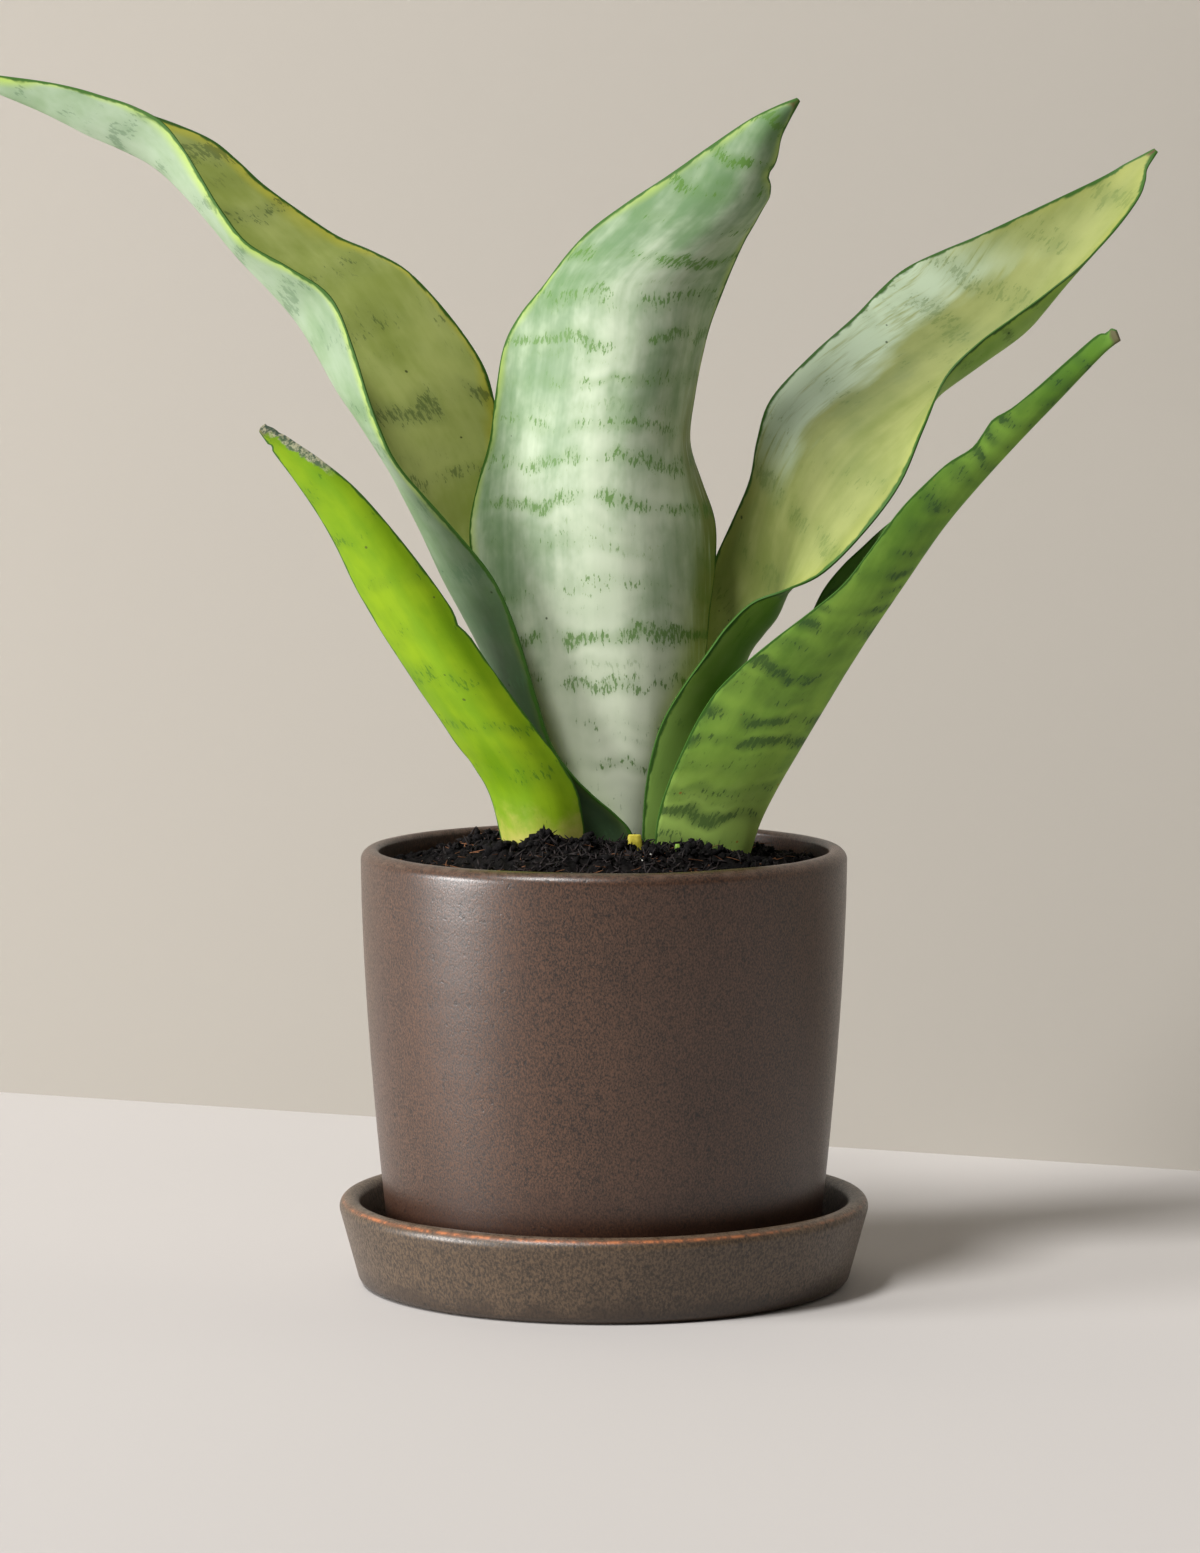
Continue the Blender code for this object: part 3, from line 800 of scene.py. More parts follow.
def spun(profile: Sequence[Pair], steps: int, ring: bool) -> Shape:
    """Turns a profile about Z into a closed mesh.

    Args:
        profile: Points of radius and height.
        steps: Facets round the axis.
        ring: True if the section closes on itself away from the axis.

    Returns:
        The mesh, its faces outwards.
    """
    shape = bmesh.new()
    points = [shape.verts.new((radius, 0, height)) for radius, height in profile]
    following = points[1:] + points[:1] if ring else points[1:]
    line = [shape.edges.new(pair) for pair in zip(points, following)]
    section = [*points, *line]
    axis = {"cent": (0, 0, 0), "axis": (0, 0, 1)}
    bmesh.ops.spin(shape, geom=section, **axis, angle=math.tau, steps=steps, use_merge=True)
    bmesh.ops.remove_doubles(shape, verts=shape.verts, dist=0.002 * MM)
    bmesh.ops.recalc_face_normals(shape, faces=shape.faces)
    return shape


def subdivided(profile: Sequence[Pair], longest: float) -> list[Pair]:
    """Splits the straight stretches of a profile, so that no step is longer than asked.

    Args:
        profile: The points.
        longest: The longest step.

    Returns:
        The points with more between them.
    """
    done = [profile[0]]
    for first, second in zip(profile, profile[1:]):
        count = max(1, math.ceil(math.dist(first, second) / longest))
        done += [
            (first[0] + (second[0] - first[0]) * i / count, first[1] + (second[1] - first[1]) * i / count)
            for i in range(1, count + 1)
        ]
    return done


@dataclass
class Pot:
    """The thrown pot: a gently bowed wall, a rounded rim and a foot ring with a drain hole."""

    finish: Stoneware
    wall: float = 5.6 * MM
    floor: float = 8.0 * MM
    foot_edge: float = 5.0 * MM
    low_radius: float = 66.6 * MM
    bulge: float = 1.6
    rim_outer: float = 3.6 * MM
    rim_inner: float = 1.7 * MM
    foot_ring: float = 9.0 * MM
    recess: float = 1.5 * MM
    drain: float = 7.0 * MM
    steps: int = 224
    waver: float = 0.22 * MM  # how far the thrown rim strays from true
    waver_depth: float = 30 * MM  # how far down the wall it still strays
    waver_rate: float = 2.2
    ridge: float = 0.06 * MM  # the throwing ridges round the wall
    ridge_rate: float = 240.0

    def __post_init__(self) -> None:
        """Takes the rim's radius and the two heights from the frame."""
        low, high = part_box("pot")
        self.radius = high.x
        self.base = low.z
        self.rim = high.z

    def side(self, height: float) -> float:
        """Gives the wall's outer radius at a height.

        Args:
            height: The height.

        Returns:
            The radius.
        """
        low = self.base + self.foot_edge
        top = self.rim - self.rim_outer
        share = min(1.0, max(0.0, (top - height) / (top - low)))
        return self.radius - (self.radius - self.low_radius) * share**self.bulge

    def profile(self) -> list[Pair]:
        """Lays out the pot's section, from the rim's crest down the outside and up the inside.

        Returns:
            Its points, as radius and height.
        """
        top = self.rim - self.rim_outer
        inner_floor = self.base + self.floor
        foot_radius = self.low_radius - self.foot_edge
        ring = foot_radius - self.foot_ring
        low = self.base + self.foot_edge
        heights = [top + (low - top) * i / 40 for i in range(1, 40)]
        above = [z for z in reversed(heights) if z > inner_floor + self.foot_edge]
        inner = [(self.side(z) - self.wall, z) for z in above]
        corner = (self.low_radius - self.wall - self.foot_edge, inner_floor + self.foot_edge)
        lip = (self.radius - self.wall + self.rim_inner, self.rim - self.rim_inner)
        return (
            arc((self.radius - self.rim_outer, top), self.rim_outer, 90, 0, 12)
            + [(self.side(z), z) for z in heights]
            + arc((foot_radius, low), self.foot_edge, 0, -90, 8)
            + [(ring, self.base), (ring - self.recess, self.base + self.recess)]
            + [(self.drain, self.base + self.recess), (self.drain, inner_floor)]
            + arc(corner, self.foot_edge, -90, 0, 6)
            + inner
            + arc(lip, self.rim_inner, 180, 100, 6)
        )

    def build(self) -> None:
        """Builds the pot."""
        shape = spun(self.profile(), self.steps, ring=True)
        for vert in shape.verts:
            near_rim = max(0.0, 1 - (self.rim - vert.co.z) / self.waver_depth)
            stray = noise.noise(outward(vert.co) * self.waver_rate) * self.waver * near_rim
            vert.co.z += stray
            ridge = noise.noise(Vector((0, 3.0, vert.co.z * self.ridge_rate))) * self.ridge
            vert.co += outward(vert.co) * (stray * 0.5 + ridge)
        finish_piece(shape, "thrown_pot", [self.finish.material()], "pot", "stoneware")


@dataclass
class Saucer:
    """The saucer: a shallow dish with a flared wall and a full round lip."""

    finish: GlazedSaucer
    wall: float = 6.6 * MM
    floor: float = 7.0 * MM
    base_radius: float = 76.5 * MM
    lower_edge: float = 4.0 * MM
    fillet: float = 3.0 * MM
    steps: int = 224
    waver: float = 0.35 * MM
    waver_rate: float = 1.9

    def __post_init__(self) -> None:
        """Takes the widest radius and the height from the frame."""
        _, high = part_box("saucer")
        self.radius = high.x
        self.height = high.z

    def profile(self) -> list[Pair]:
        """Lays out the section, from the middle of the floor over the lip to the middle of the base.

        Returns:
            Its points, as radius and height.
        """
        half = self.wall / 2
        lip = (self.radius - half, self.height - half)
        inside = self.base_radius - self.wall + 1.5 * MM - self.fillet
        corner = (inside, self.floor + self.fillet)
        edge = self.lower_edge
        path = (
            [(0.0, self.floor)]
            + arc(corner, self.fillet, -90, -10, 6)
            + arc(lip, half, 170, -10, 20)
            + arc((self.base_radius - edge, edge), edge, -10, -90, 8)
            + [(0.0, 0.0)]
        )
        return subdivided(path, 3 * MM)

    def build(self) -> None:
        """Builds the saucer."""
        shape = spun(self.profile(), self.steps, ring=False)
        for vert in shape.verts:
            share = max(0.0, vert.co.z - self.floor) / (self.height - self.floor)
            at = outward(vert.co) * self.waver_rate + Vector((0, 0, 4.0))
            vert.co.z += noise.noise(at) * self.waver * share
        finish_piece(shape, "glazed_saucer", [self.finish.material()], "saucer", "stoneware")


# --- Soil ----------------------------------------------------------------------------------------


class Seed:
    """A small closed shape that is scattered many times."""

    def __init__(self, name: str, make: Callable[[Shape], object]) -> None:
        """Makes the shape once.

        Args:
            name: Its name.
            make: The call that adds it to an empty mesh.
        """
        shape = bmesh.new()
        make(shape)
        self.mesh = closed_off(shape, name)
        self.points = [vert.co.copy() for vert in self.mesh.vertices]

    def sow(self, shape: Shape, place: Callable[[Vector], Vector]) -> None:
        """Adds one copy.

        Args:
            shape: The mesh that it goes into.
            place: Gives a vertex of the seed its place.
        """
        for vert, point in zip(self.mesh.vertices, self.points):
            vert.co = place(point)
        shape.from_mesh(self.mesh)


@dataclass(frozen=True)
class Clump:
    """A pile of crumbs that stands above the bed, in millimetres from the heap's middle."""

    x: float
    y: float
    spread: float
    height: float
    crumbs: int

    def rise(self, at: Vector) -> float:
        """Gives how far the clump lifts the bed at a place, all in millimetres."""
        away = (at.x - self.x) ** 2 + (at.y - self.y) ** 2
        return self.height * 0.75 * math.exp(-away / (2 * (self.spread * 0.6) ** 2))


def grain_shape(shape: Shape) -> None:
    """Adds a rough ball, the start of a crumb."""
    bmesh.ops.create_icosphere(shape, subdivisions=1, radius=1)


def thread_shape(shape: Shape) -> None:
    """Adds a thin spindle, the start of a fibre or a stick."""
    bmesh.ops.create_uvsphere(shape, u_segments=4, v_segments=5, radius=1)


@dataclass
class PottingMix:
    """The potting mix: a crumbly bed, loose crumbs and clumps, fibres, sticks and perlite."""

    CRUMB_SIZES = (0.4, 0.5, 0.6, 0.7, 0.8, 1.0, 1.2, 1.6)  # millimetres
    STICK_LENGTHS = (1.4, 1.8, 2.2, 2.8, 3.4, 4.6)

    bed_finish: Plain
    crumb_finish: Plain
    fibre_finish: Plain
    stick_finish: Plain
    perlite_finish: Plain
    clumps: tuple[Clump, ...]
    wall_gap: float = 0.3 * MM
    edge_drop: float = 7.5 * MM  # from the heap's top to the soil at the wall
    flat_radius: float = 30.0 * MM
    foot_radius: float = 62.0 * MM
    lump: Pair = (9.0, 1.7)  # size and height in millimetres, as the next three are
    hump: Pair = (21.0, 1.2)
    clod: Pair = (2.6, 2.0)
    grit: Pair = (1.1, 0.9)
    steps: int = 380
    rows: int = 118  # from the middle to the wall
    front: Pair = (3 * MM, -36 * MM)  # the middle of the sticks that lie before the leaves
    crumbs: int = 1900
    fibres: int = 260
    fibre_radius: float = 0.14 * MM
    sticks: int = 700
    perlite_front: Pair = (6 * MM, -36 * MM)
    front_perlite: int = 4
    perlite: int = 11
    seed: int = 11

    def __post_init__(self) -> None:
        """Takes the bed's radius, base and top from the frame."""
        low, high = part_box("soil")
        self.low = low.z
        self.top = high.z
        self.radius = high.x
        self.random = Random(self.seed)
        self.grain = Seed("grain", grain_shape)
        self.thread = Seed("thread", thread_shape)

    def level(self, x: float, y: float) -> float:
        """Gives the smooth bed's height.

        Args:
            x: The place's x.
            y: Its y.

        Returns:
            The height.
        """
        share = (math.hypot(x, y) - self.flat_radius) / (self.foot_radius - self.flat_radius)
        fall = 0.5 - 0.5 * math.cos(math.pi * min(1.0, max(0.0, share)))
        return self.top - self.edge_drop * fall

    def roughness(self, x: float, y: float) -> float:
        """Gives the height that lumps, crumbs, grit and clumps add.

        Args:
            x: The place's x.
            y: Its y.

        Returns:
            The added height.
        """
        at = Vector((x, y, 0.0)) / MM
        lumps = noise.noise(at / self.lump[0]) * self.lump[1]
        humps = noise.noise(at / self.hump[0] + Vector((9, 0, 0))) * self.hump[1]
        clods = (0.42 - noise.voronoi(at / self.clod[0])[0][0]) * self.clod[1]
        grit = (0.4 - noise.voronoi(at / self.grit[0] + Vector((0, 0, 5)))[0][0]) * self.grit[1]
        return (lumps + humps + clods + grit + sum(clump.rise(at) for clump in self.clumps)) * MM

    def surface(self, x: float, y: float) -> float:
        """Gives the rough bed's height at a point."""
        near_wall = min(1.0, max(0.0, (self.radius - math.hypot(x, y)) / (3 * MM)))
        return self.level(x, y) + self.roughness(x, y) * (0.35 + 0.65 * near_wall)

    def build_bed(self) -> None:
        """Builds the bed, closed down to its base."""
        pot = Pot(finish=POT_WARE)
        sides = [self.low + (self.top - self.edge_drop - self.low) * i / 12 for i in range(11, 0, -1)]
        gap = pot.wall + self.wall_gap
        inner = [(min(self.radius, pot.side(z) - gap), z) for z in sides if z > self.low + 6 * MM]
        radii = [self.radius * (i / self.rows) for i in range(self.rows + 1)]
        top = [(radii[i], self.level(self.radius * i / self.rows, 0)) for i in range(self.rows + 1)]
        foot = pot.low_radius - pot.wall - pot.foot_edge
        shape = spun([*top, *inner, (foot, self.low), (0.0, self.low)], self.steps, ring=False)
        noise.seed_set(self.seed)  # the vector noise follows the clock until it is seeded
        for vert in shape.verts:
            if vert.co.z > self.top - self.edge_drop - 0.05 * MM:
                vert.co.z = self.surface(vert.co.x, vert.co.y)
                lean = noise.noise_vector(vert.co / (1.7 * MM))
                if math.hypot(vert.co.x, vert.co.y) < self.radius - 2 * MM:
                    vert.co += Vector((lean.x, lean.y, 0)) * 0.45 * MM
        finish_piece(shape, "potting_mix_bed", [self.bed_finish.material()], "soil", "peat")

    def crumb(self, shape: Shape, at: Vector, radius: float) -> None:
        """Adds one crumb.

        Args:
            shape: The mesh that it goes into.
            at: Its centre.
            radius: Its mean radius.
        """
        squash = Matrix.Diagonal([radius * self.random.uniform(0.45, 1.35) for _ in range(3)])
        spin = Matrix.Rotation(self.random.uniform(0, math.tau), 3, "X")
        turn = spin @ Matrix.Rotation(self.random.uniform(0, 3), 3, "Z") @ squash
        self.grain.sow(shape, lambda point: at + turn @ point * self.random.uniform(0.5, 1.4))

    def build_crumbs(self) -> None:
        """Builds the loose crumbs and the clumps."""
        shape = bmesh.new()
        for _ in range(self.crumbs):
            x, y = self.spot(self.radius - 2 * MM)
            size = MM * self.random.choice(self.CRUMB_SIZES)
            self.crumb(shape, Vector((x, y, self.surface(x, y) + size * 0.35)), size)
        for clump in self.clumps:
            for _ in range(clump.crumbs):
                x = MM * (clump.x + self.random.gauss(0, clump.spread * 0.5))
                y = MM * (clump.y + self.random.gauss(0, clump.spread * 0.5))
                size = MM * self.random.uniform(0.5, 1.5)
                lift = size * self.random.uniform(0.1, 1.1)
                self.crumb(shape, Vector((x, y, self.surface(x, y) + lift)), size)
        finish_piece(shape, "potting_mix_crumbs", [self.crumb_finish.material()], None, "peat")

    def strand(
        self, shape: Shape, at: Vector, length: float, radius: float, bend: float, tilt: float
    ) -> None:
        """Adds one thin bent strand lying on the bed.

        Args:
            shape: The mesh that it goes into.
            at: Its middle.
            length: Its length.
            radius: Its radius.
            bend: How far its middle bows out, as a share of its length.
            tilt: Its slope in radians.
        """
        turn = self.random.uniform(0, math.tau)
        aim = Matrix.Rotation(turn, 4, "Z") @ Matrix.Rotation(math.pi / 2 - tilt, 4, "Y")
        place = Matrix.Translation(at) @ aim

        def bent(point: Vector) -> Vector:
            """Bows and tapers the thread, and lays it in its place."""
            thin = radius * (1 - 0.3 * point.z)
            bow = bend * length * (1 - point.z**2)
            return place @ Vector((point.x * thin, point.y * thin + bow, point.z * length / 2))

        self.thread.sow(shape, bent)

    def spot(self, spread: float, centre: Pair = (0.0, 0.0)) -> Pair:
        """Picks one random place.

        Args:
            spread: The radius that the places spread over.
            centre: The middle of that, in metres.

        Returns:
            The place.
        """
        turn = self.random.uniform(0, math.tau)
        reach = spread * math.sqrt(self.random.random())
        return centre[0] + reach * math.cos(turn), centre[1] + reach * math.sin(turn)

    def scatter(self, count: int, spread: float, centre: Pair = (0.0, 0.0)) -> list[Pair]:
        """Picks random places that are on the bed, clear of the wall.

        Args:
            count: How many.
            spread: The radius that the places spread over.
            centre: The middle of that, in metres.

        Returns:
            The places.
        """
        places: list[Pair] = []
        while len(places) < count:
            place = self.spot(spread, centre)
            if math.hypot(*place) < self.radius - 3 * MM:
                places.append(place)
        return places

    def build_fibres(self) -> None:
        """Builds the brown fibres, most of them near the wall."""
        shape = bmesh.new()
        for _ in range(self.fibres):
            turn = self.random.uniform(0, math.tau)
            reach = self.radius * self.random.uniform(0.45, 0.95)
            x, y = reach * math.cos(turn), reach * math.sin(turn)
            length = MM * self.random.uniform(2.5, 7.5)
            lift = self.surface(x, y) + 0.5 * MM
            bend = self.random.uniform(-0.2, 0.2)
            tilt = self.random.gauss(0, 0.22)
            self.strand(shape, Vector((x, y, lift)), length, self.fibre_radius, bend, tilt)
        bmesh.ops.recalc_face_normals(shape, faces=shape.faces)
        finish_piece(shape, "potting_mix_fibres", [self.fibre_finish.material()], None, "peat")

    def build_sticks(self) -> None:
        """Builds the short dark sticks, thickest in front of the leaves."""
        shape = bmesh.new()
        places = self.scatter(self.sticks, 30 * MM, self.front) + self.scatter(self.sticks, self.radius)
        for x, y in places:
            length = MM * self.random.choice(self.STICK_LENGTHS)
            tilt = self.random.uniform(-0.2, 1.1)
            lift = self.surface(x, y) + length * 0.3 * math.sin(abs(tilt)) + 0.4 * MM
            radius = MM * self.random.uniform(0.16, 0.42)
            bend = self.random.uniform(-0.08, 0.08)
            self.strand(shape, Vector((x, y, lift)), length, radius, bend, tilt)
        bmesh.ops.recalc_face_normals(shape, faces=shape.faces)
        finish_piece(shape, "potting_mix_sticks", [self.stick_finish.material()], None, "peat")

    def build_perlite(self) -> None:
        """Builds the few white grains of perlite."""
        shape = bmesh.new()
        front = self.scatter(self.front_perlite, 15 * MM, self.perlite_front)
        for x, y in front + self.scatter(self.perlite, self.radius):
            size = MM * self.random.uniform(0.28, 0.5)
            self.crumb(shape, Vector((x, y, self.surface(x, y) + size * 0.7)), size)
        finish_piece(shape, "perlite_grains", [self.perlite_finish.material()], None, "peat")

    def build(self) -> None:
        """Builds every piece of the mix, in the order of its random draws."""
        self.build_bed()
        self.build_crumbs()
        self.build_fibres()
        self.build_sticks()
        self.build_perlite()


# --- Leaves --------------------------------------------------------------------------------------


class BladeFrame:
    """The two margins and the midrib of a leaf's node, read row by row from its mesh."""

    RING = 18  # vertices round one row of the node's mesh: nine on each face

    def __init__(self, node: str, near_side: Vector) -> None:
        """Reads the rails.

        Args:
            node: The leaf's node.
            near_side: Which way its near margin lies from the midrib, at the foot.
        """
        shape = bmesh.new()
        shape.from_mesh(bpy.data.objects[node].data)
        bmesh.ops.remove_doubles(shape, verts=shape.verts, dist=0.002 * MM)
        rings = self._rings(self._rows(shape), near_side)
        self.rails = [self._rail(rings, *pair) for pair in ((0, 17), (4, 13), (8, 9))]
        shape.free()

    def _rows(self, shape: Shape) -> list[list[Vertex]]:
        """Walks up from the lowest ring of vertices, a ring at a time.

        Args:
            shape: The node's merged mesh.

        Returns:
            The vertices of each row, from the foot to the tip.
        """
        rows = [sorted(shape.verts, key=lambda vert: vert.co.z)[: self.RING]]
        seen = set(rows[0])
        while len(seen) < len(shape.verts):
            reached = {edge.other_vert(vert) for vert in rows[-1] for edge in vert.link_edges} - seen
            seen |= reached
            rows.append(sorted(reached, key=lambda vert: vert.index))
        if any(len(row) != self.RING for row in rows):
            raise ValueError("the leaf's rows don't all have the same number of vertices")
        return rows

    @staticmethod
    def _round(row: list[Vertex]) -> list[Vector]:
        """Puts a row's vertices in order round the section.

        Args:
            row: The vertices.

        Returns:
            Their places in order.
        """
        own = set(row)
        order = [row[0]]
        while len(order) < len(row):
            here = order[-1]
            outer = [e for e in here.link_edges if any(v not in own for f in e.link_faces for v in f.verts)]
            beside = [edge.other_vert(here) for edge in outer]
            order.append(next(vert for vert in beside if vert in own and vert not in order))
        return [vert.co.copy() for vert in order]

    def _rings(self, rows: list[list[Vertex]], near_side: Vector) -> list[list[Vector]]:
        """Orders every row alike, from the near margin over one face and back over the other.

        Args:
            rows: The vertices of each row.
            near_side: Which way the near margin lies from the midrib, at the foot.

        Returns:
            The places of each row's vertices.
        """
        count = self.RING
        first = self._round(rows[0])
        gaps = [(first[i] - first[i - 1]).length for i in range(count)]
        start = min(range(count), key=lambda i: gaps[i] + gaps[(i + count // 2) % count])
        first = first[start:] + first[:start]
        half = count // 2
        if ((first[0] + first[-1]) - (first[half - 1] + first[half])).dot(near_side) < 0:
            first = first[half:] + first[:half]
        rings = [first]
        for row in rows[1:]:
            ring = self._round(row)
            turned = [way[i:] + way[:i] for way in (ring, ring[::-1]) for i in range(count)]
            last = rings[-1]
            rings.append(min(turned, key=lambda tried: sum((a - b).length for a, b in zip(tried, last))))
        return rings

    @staticmethod
    def _rail(rings: list[list[Vector]], one: int, other: int) -> list[Vector]:
        """Takes the middle of two facing vertices in every ring."""
        return [(ring[one] + ring[other]) / 2 for ring in rings]

    @property
    def spans(self) -> int:
        """Gives the number of steps from the first row to the last."""
        return len(self.rails[0]) - 1

    def point(self, rail: int, share: float) -> Vector:
        """Gives a point on one rail, smoothly between its rows.

        Args:
            rail: 0 for the near margin, 1 for the midrib, 2 for the far margin.
            share: 0 at the foot, 1 at the tip.

        Returns:
            The point.
        """
        line = self.rails[rail]
        at = share * self.spans
        row = min(int(at), self.spans - 1)
        t = at - row
        first, second = line[row], line[row + 1]
        before = line[row - 1] if row else first * 2 - second
        after = line[row + 2] if row + 2 <= self.spans else second * 2 - first
        return (
            before * (-(t**3) + 2 * t * t - t)
            + first * (3 * t**3 - 5 * t * t + 2)
            + second * (-3 * t**3 + 4 * t * t + t)
            + after * (t**3 - t * t)
        ) / 2

    def across(self, share: float, s: float) -> Vector:
        """Gives a point of the blade's middle: s is -1 on the near margin and 1 on the far one."""
        near, middle, far = (self.point(rail, share) for rail in range(3))
        return near * (s * (s - 1) / 2) + middle * (1 - s * s) + far * (s * (s + 1) / 2)


@dataclass(frozen=True)
class Nick:
    """A small bite or swelling in a margin."""

    near: bool
    share: float  # of the length, from the foot
    depth: float
    reach: float  # half its length, as a share of the leaf's


@dataclass
class Leaf:
    """A leaf: a blade lofted through its node's rails, thick at the midrib and thin at the margins."""

    node: str
    piece: str
    slot: str
    near_side: Vector
    back: LeafSkin
    face: LeafSkin
    thick: float = 2.6 * MM
    edge_share: float = 0.32
    tip_share: float = 0.45
    columns: int = 36
    rows_per_span: int = 6
    ribs: float = 0.06 * MM  # height of the low lengthwise ridges
    rib_pitch: float = 7 * MM
    waves: float = 0.5 * MM  # how far the margins ripple
    wave_rate: float = 13.0
    dents: float = 0.3 * MM
    dent_size: float = 26 * MM
    full_width: float = 30 * MM  # a narrower blade has less relief
    crowding: float = 0.18  # how much closer the columns lie near the margins
    edge_round: float = 0.2 * MM
    nicks: tuple[Nick, ...] = ()

    def bitten(self, share: float, s: float) -> float:
        """Moves a point across the blade where a nick pulls the margin in.

        Args:
            share: Share of the length.
            s: The point's place across, -1 to 1.

        Returns:
            Its new place across.
        """
        pull = 0.0
        for nick in self.nicks:
            if nick.near == (s < 0):
                pull += nick.depth * math.exp(-(((share - nick.share) / nick.reach) ** 2))
        return s * (1 - pull * abs(s) ** 5)

    def relief(self, at: Vector, share: float, s: float, width: float) -> float:
        """Gives how far the surface stands off its smooth loft.

        Args:
            at: The point.
            share: Share of the length.
            s: Place across, -1 to 1.
            width: The blade's width there.

        Returns:
            The offset along the normal.
        """
        narrow = min(1.0, width / self.full_width)
        seed = len(self.node)
        phase = noise.noise(Vector((share * 3, seed, 0))) * 2
        ribs = math.cos(s * width / self.rib_pitch * math.pi + phase) * (1 - s**4) * self.ribs
        dents = noise.noise(at / self.dent_size) * self.dents
        ripple = noise.noise(Vector((share * self.wave_rate, seed, s))) * abs(s) ** 4 * self.waves
        return (ribs + dents + ripple) * narrow

    def mesh(self) -> tuple[Shape, float]:
        """Lofts the blade's middle surface.

        Returns:
            The open mesh with its two UV maps and its thickness weights, and its length.
        """
        frame = BladeFrame(self.node, self.near_side)
        rows = frame.spans * self.rows_per_span
        shape = bmesh.new()
        bmesh.ops.create_grid(shape, x_segments=self.columns, y_segments=rows, size=1)
        weight = shape.verts.layers.deform.verify()
        places = {vert: (round((vert.co.y + 1) / 2 * rows), vert.co.x) for vert in shape.verts}
        grid: list[dict[float, Vector]] = [{} for _ in range(rows + 1)]
        for vert, (row, x) in places.items():
            share = row / rows
            s = x * (1 + self.crowding * (1 - x * x))
            vert.co = frame.across(share, self.bitten(share, s))
            grid[row][round(x, 5)] = vert.co.copy()
            thick = self.edge_share + (1 - self.edge_share) * (1 - s * s)
            vert[weight][0] = thick * (1 - (1 - self.tip_share) * share)
        length = self._lay_out(shape, places, grid)
        middle = frame.point(1, 0.4) - (frame.point(0, 0.4) + frame.point(2, 0.4)) / 2
        shape.normal_update()
        start = min(shape.faces, key=lambda face: (face.calc_center_median() - frame.point(1, 0.4)).length)
        if start.normal.dot(middle) < 0:
            bmesh.ops.reverse_faces(shape, faces=shape.faces)
            shape.normal_update()
        offsets = {}
        for vert, (row, x) in places.items():
            line = grid[row]
            width = (line[max(line)] - line[min(line)]).length
            offsets[vert] = vert.normal * self.relief(vert.co, row / rows, x, width)
        for vert, offset in offsets.items():
            vert.co += offset
        return shape, length

    @staticmethod
    def _lay_out(
        shape: Shape, places: dict[Vertex, tuple[int, float]], grid: list[dict[float, Vector]]
    ) -> float:
        """Gives each corner its distances along and across the blade and from its margins.

        Args:
            shape: The mesh.
            places: Each vertex's row and place across.
            grid: Each row's points by place across.

        Returns:
            The length along the midrib.
        """
        along = [0.0]
        for before, here in zip(grid, grid[1:]):
            along.append(along[-1] + (here[0.0] - before[0.0]).length)
        reach: list[dict[float, float]] = []
        for line in grid:
            order = sorted(line)
            total = [0.0]
            for first, second in zip(order, order[1:]):
                total.append(total[-1] + (line[second] - line[first]).length)
            reach.append(dict(zip(order, total)))
        blade = shape.loops.layers.uv.new("Blade")
        edges = shape.loops.layers.uv.new("Edges")
        for face in shape.faces:
            for loop in face.loops:
                row, x = places[loop.vert]
                near = reach[row][round(x, 5)]
                whole = max(reach[row].values())
                loop[blade].uv = (near - reach[row][0.0], along[row])
                loop[edges].uv = (near, whole - near)
        return along[-1]

    def build(self) -> None:
        """Builds the leaf."""
        shape, length = self.mesh()
        skins = [self.back.material(length), self.face.material(length)]
        made = finish_piece(shape, self.piece, [*skins, skins[0]], self.node, self.slot)
        made.vertex_groups.new(name="Thickness")
        solid = made.modifiers.new("Thickness", "SOLIDIFY")
        solid.thickness = self.thick
        solid.offset = 0.0
        solid.vertex_group = "Thickness"
        solid.thickness_vertex_group = 0.0
        solid.use_even_offset = False
        solid.material_offset = 1
        solid.material_offset_rim = 2  # the back's skin again, at the third slot
        soft = made.modifiers.new("Soft edge", "BEVEL")
        soft.limit_method = "ANGLE"
        soft.angle_limit = math.radians(50)
        soft.width = self.edge_round
        soft.segments = 2


@dataclass
class Bract:
    """A small sheath that shows above the soil."""

    node: str
    piece: str
    finish: Plain
    taper: float  # the top's width as a share of the foot's
    square: bool
    sides: int = 28
    lean: float = 0.05  # shares of the sheath's own size, as the next two are
    fold: float = 0.12
    fold_width: float = 0.12

    def build(self) -> None:
        """Builds the sheath inside its node's box."""
        low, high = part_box(self.node)
        middle, size = (low + high) / 2, high - low
        shape = bmesh.new()
        half = 0.5
        bmesh.ops.create_cone(
            shape, cap_ends=True, segments=self.sides, radius1=half, radius2=half * self.taper, depth=1
        )
        bmesh.ops.bevel(
            shape,
            geom=[edge for edge in shape.edges if abs(edge.verts[0].co.z - edge.verts[1].co.z) < 0.1],
            offset=0.05 if self.square else 0.02,
            affect="EDGES",
            segments=3,
            profile=0.5,
            material=-1,
        )
        walls = [edge for edge in shape.edges if abs(edge.verts[0].co.z - edge.verts[1].co.z) > 0.5]
        bmesh.ops.subdivide_edges(shape, edges=walls, cuts=8)
        for vert in shape.verts:
            bend = self.lean * math.sin(vert.co.z * 4)
            fold = 1 - self.fold * math.exp(-((vert.co.x / self.fold_width) ** 2)) if vert.co.y < 0 else 1.0
            vert.co = Vector((vert.co.x + bend, vert.co.y * fold, vert.co.z))
            vert.co = middle + Vector([part * by for part, by in zip(vert.co, size)])
        finish_piece(shape, self.piece, [self.finish.material()], self.node, "bract")


# --- Finishes of this plant ----------------------------------------------------------------------

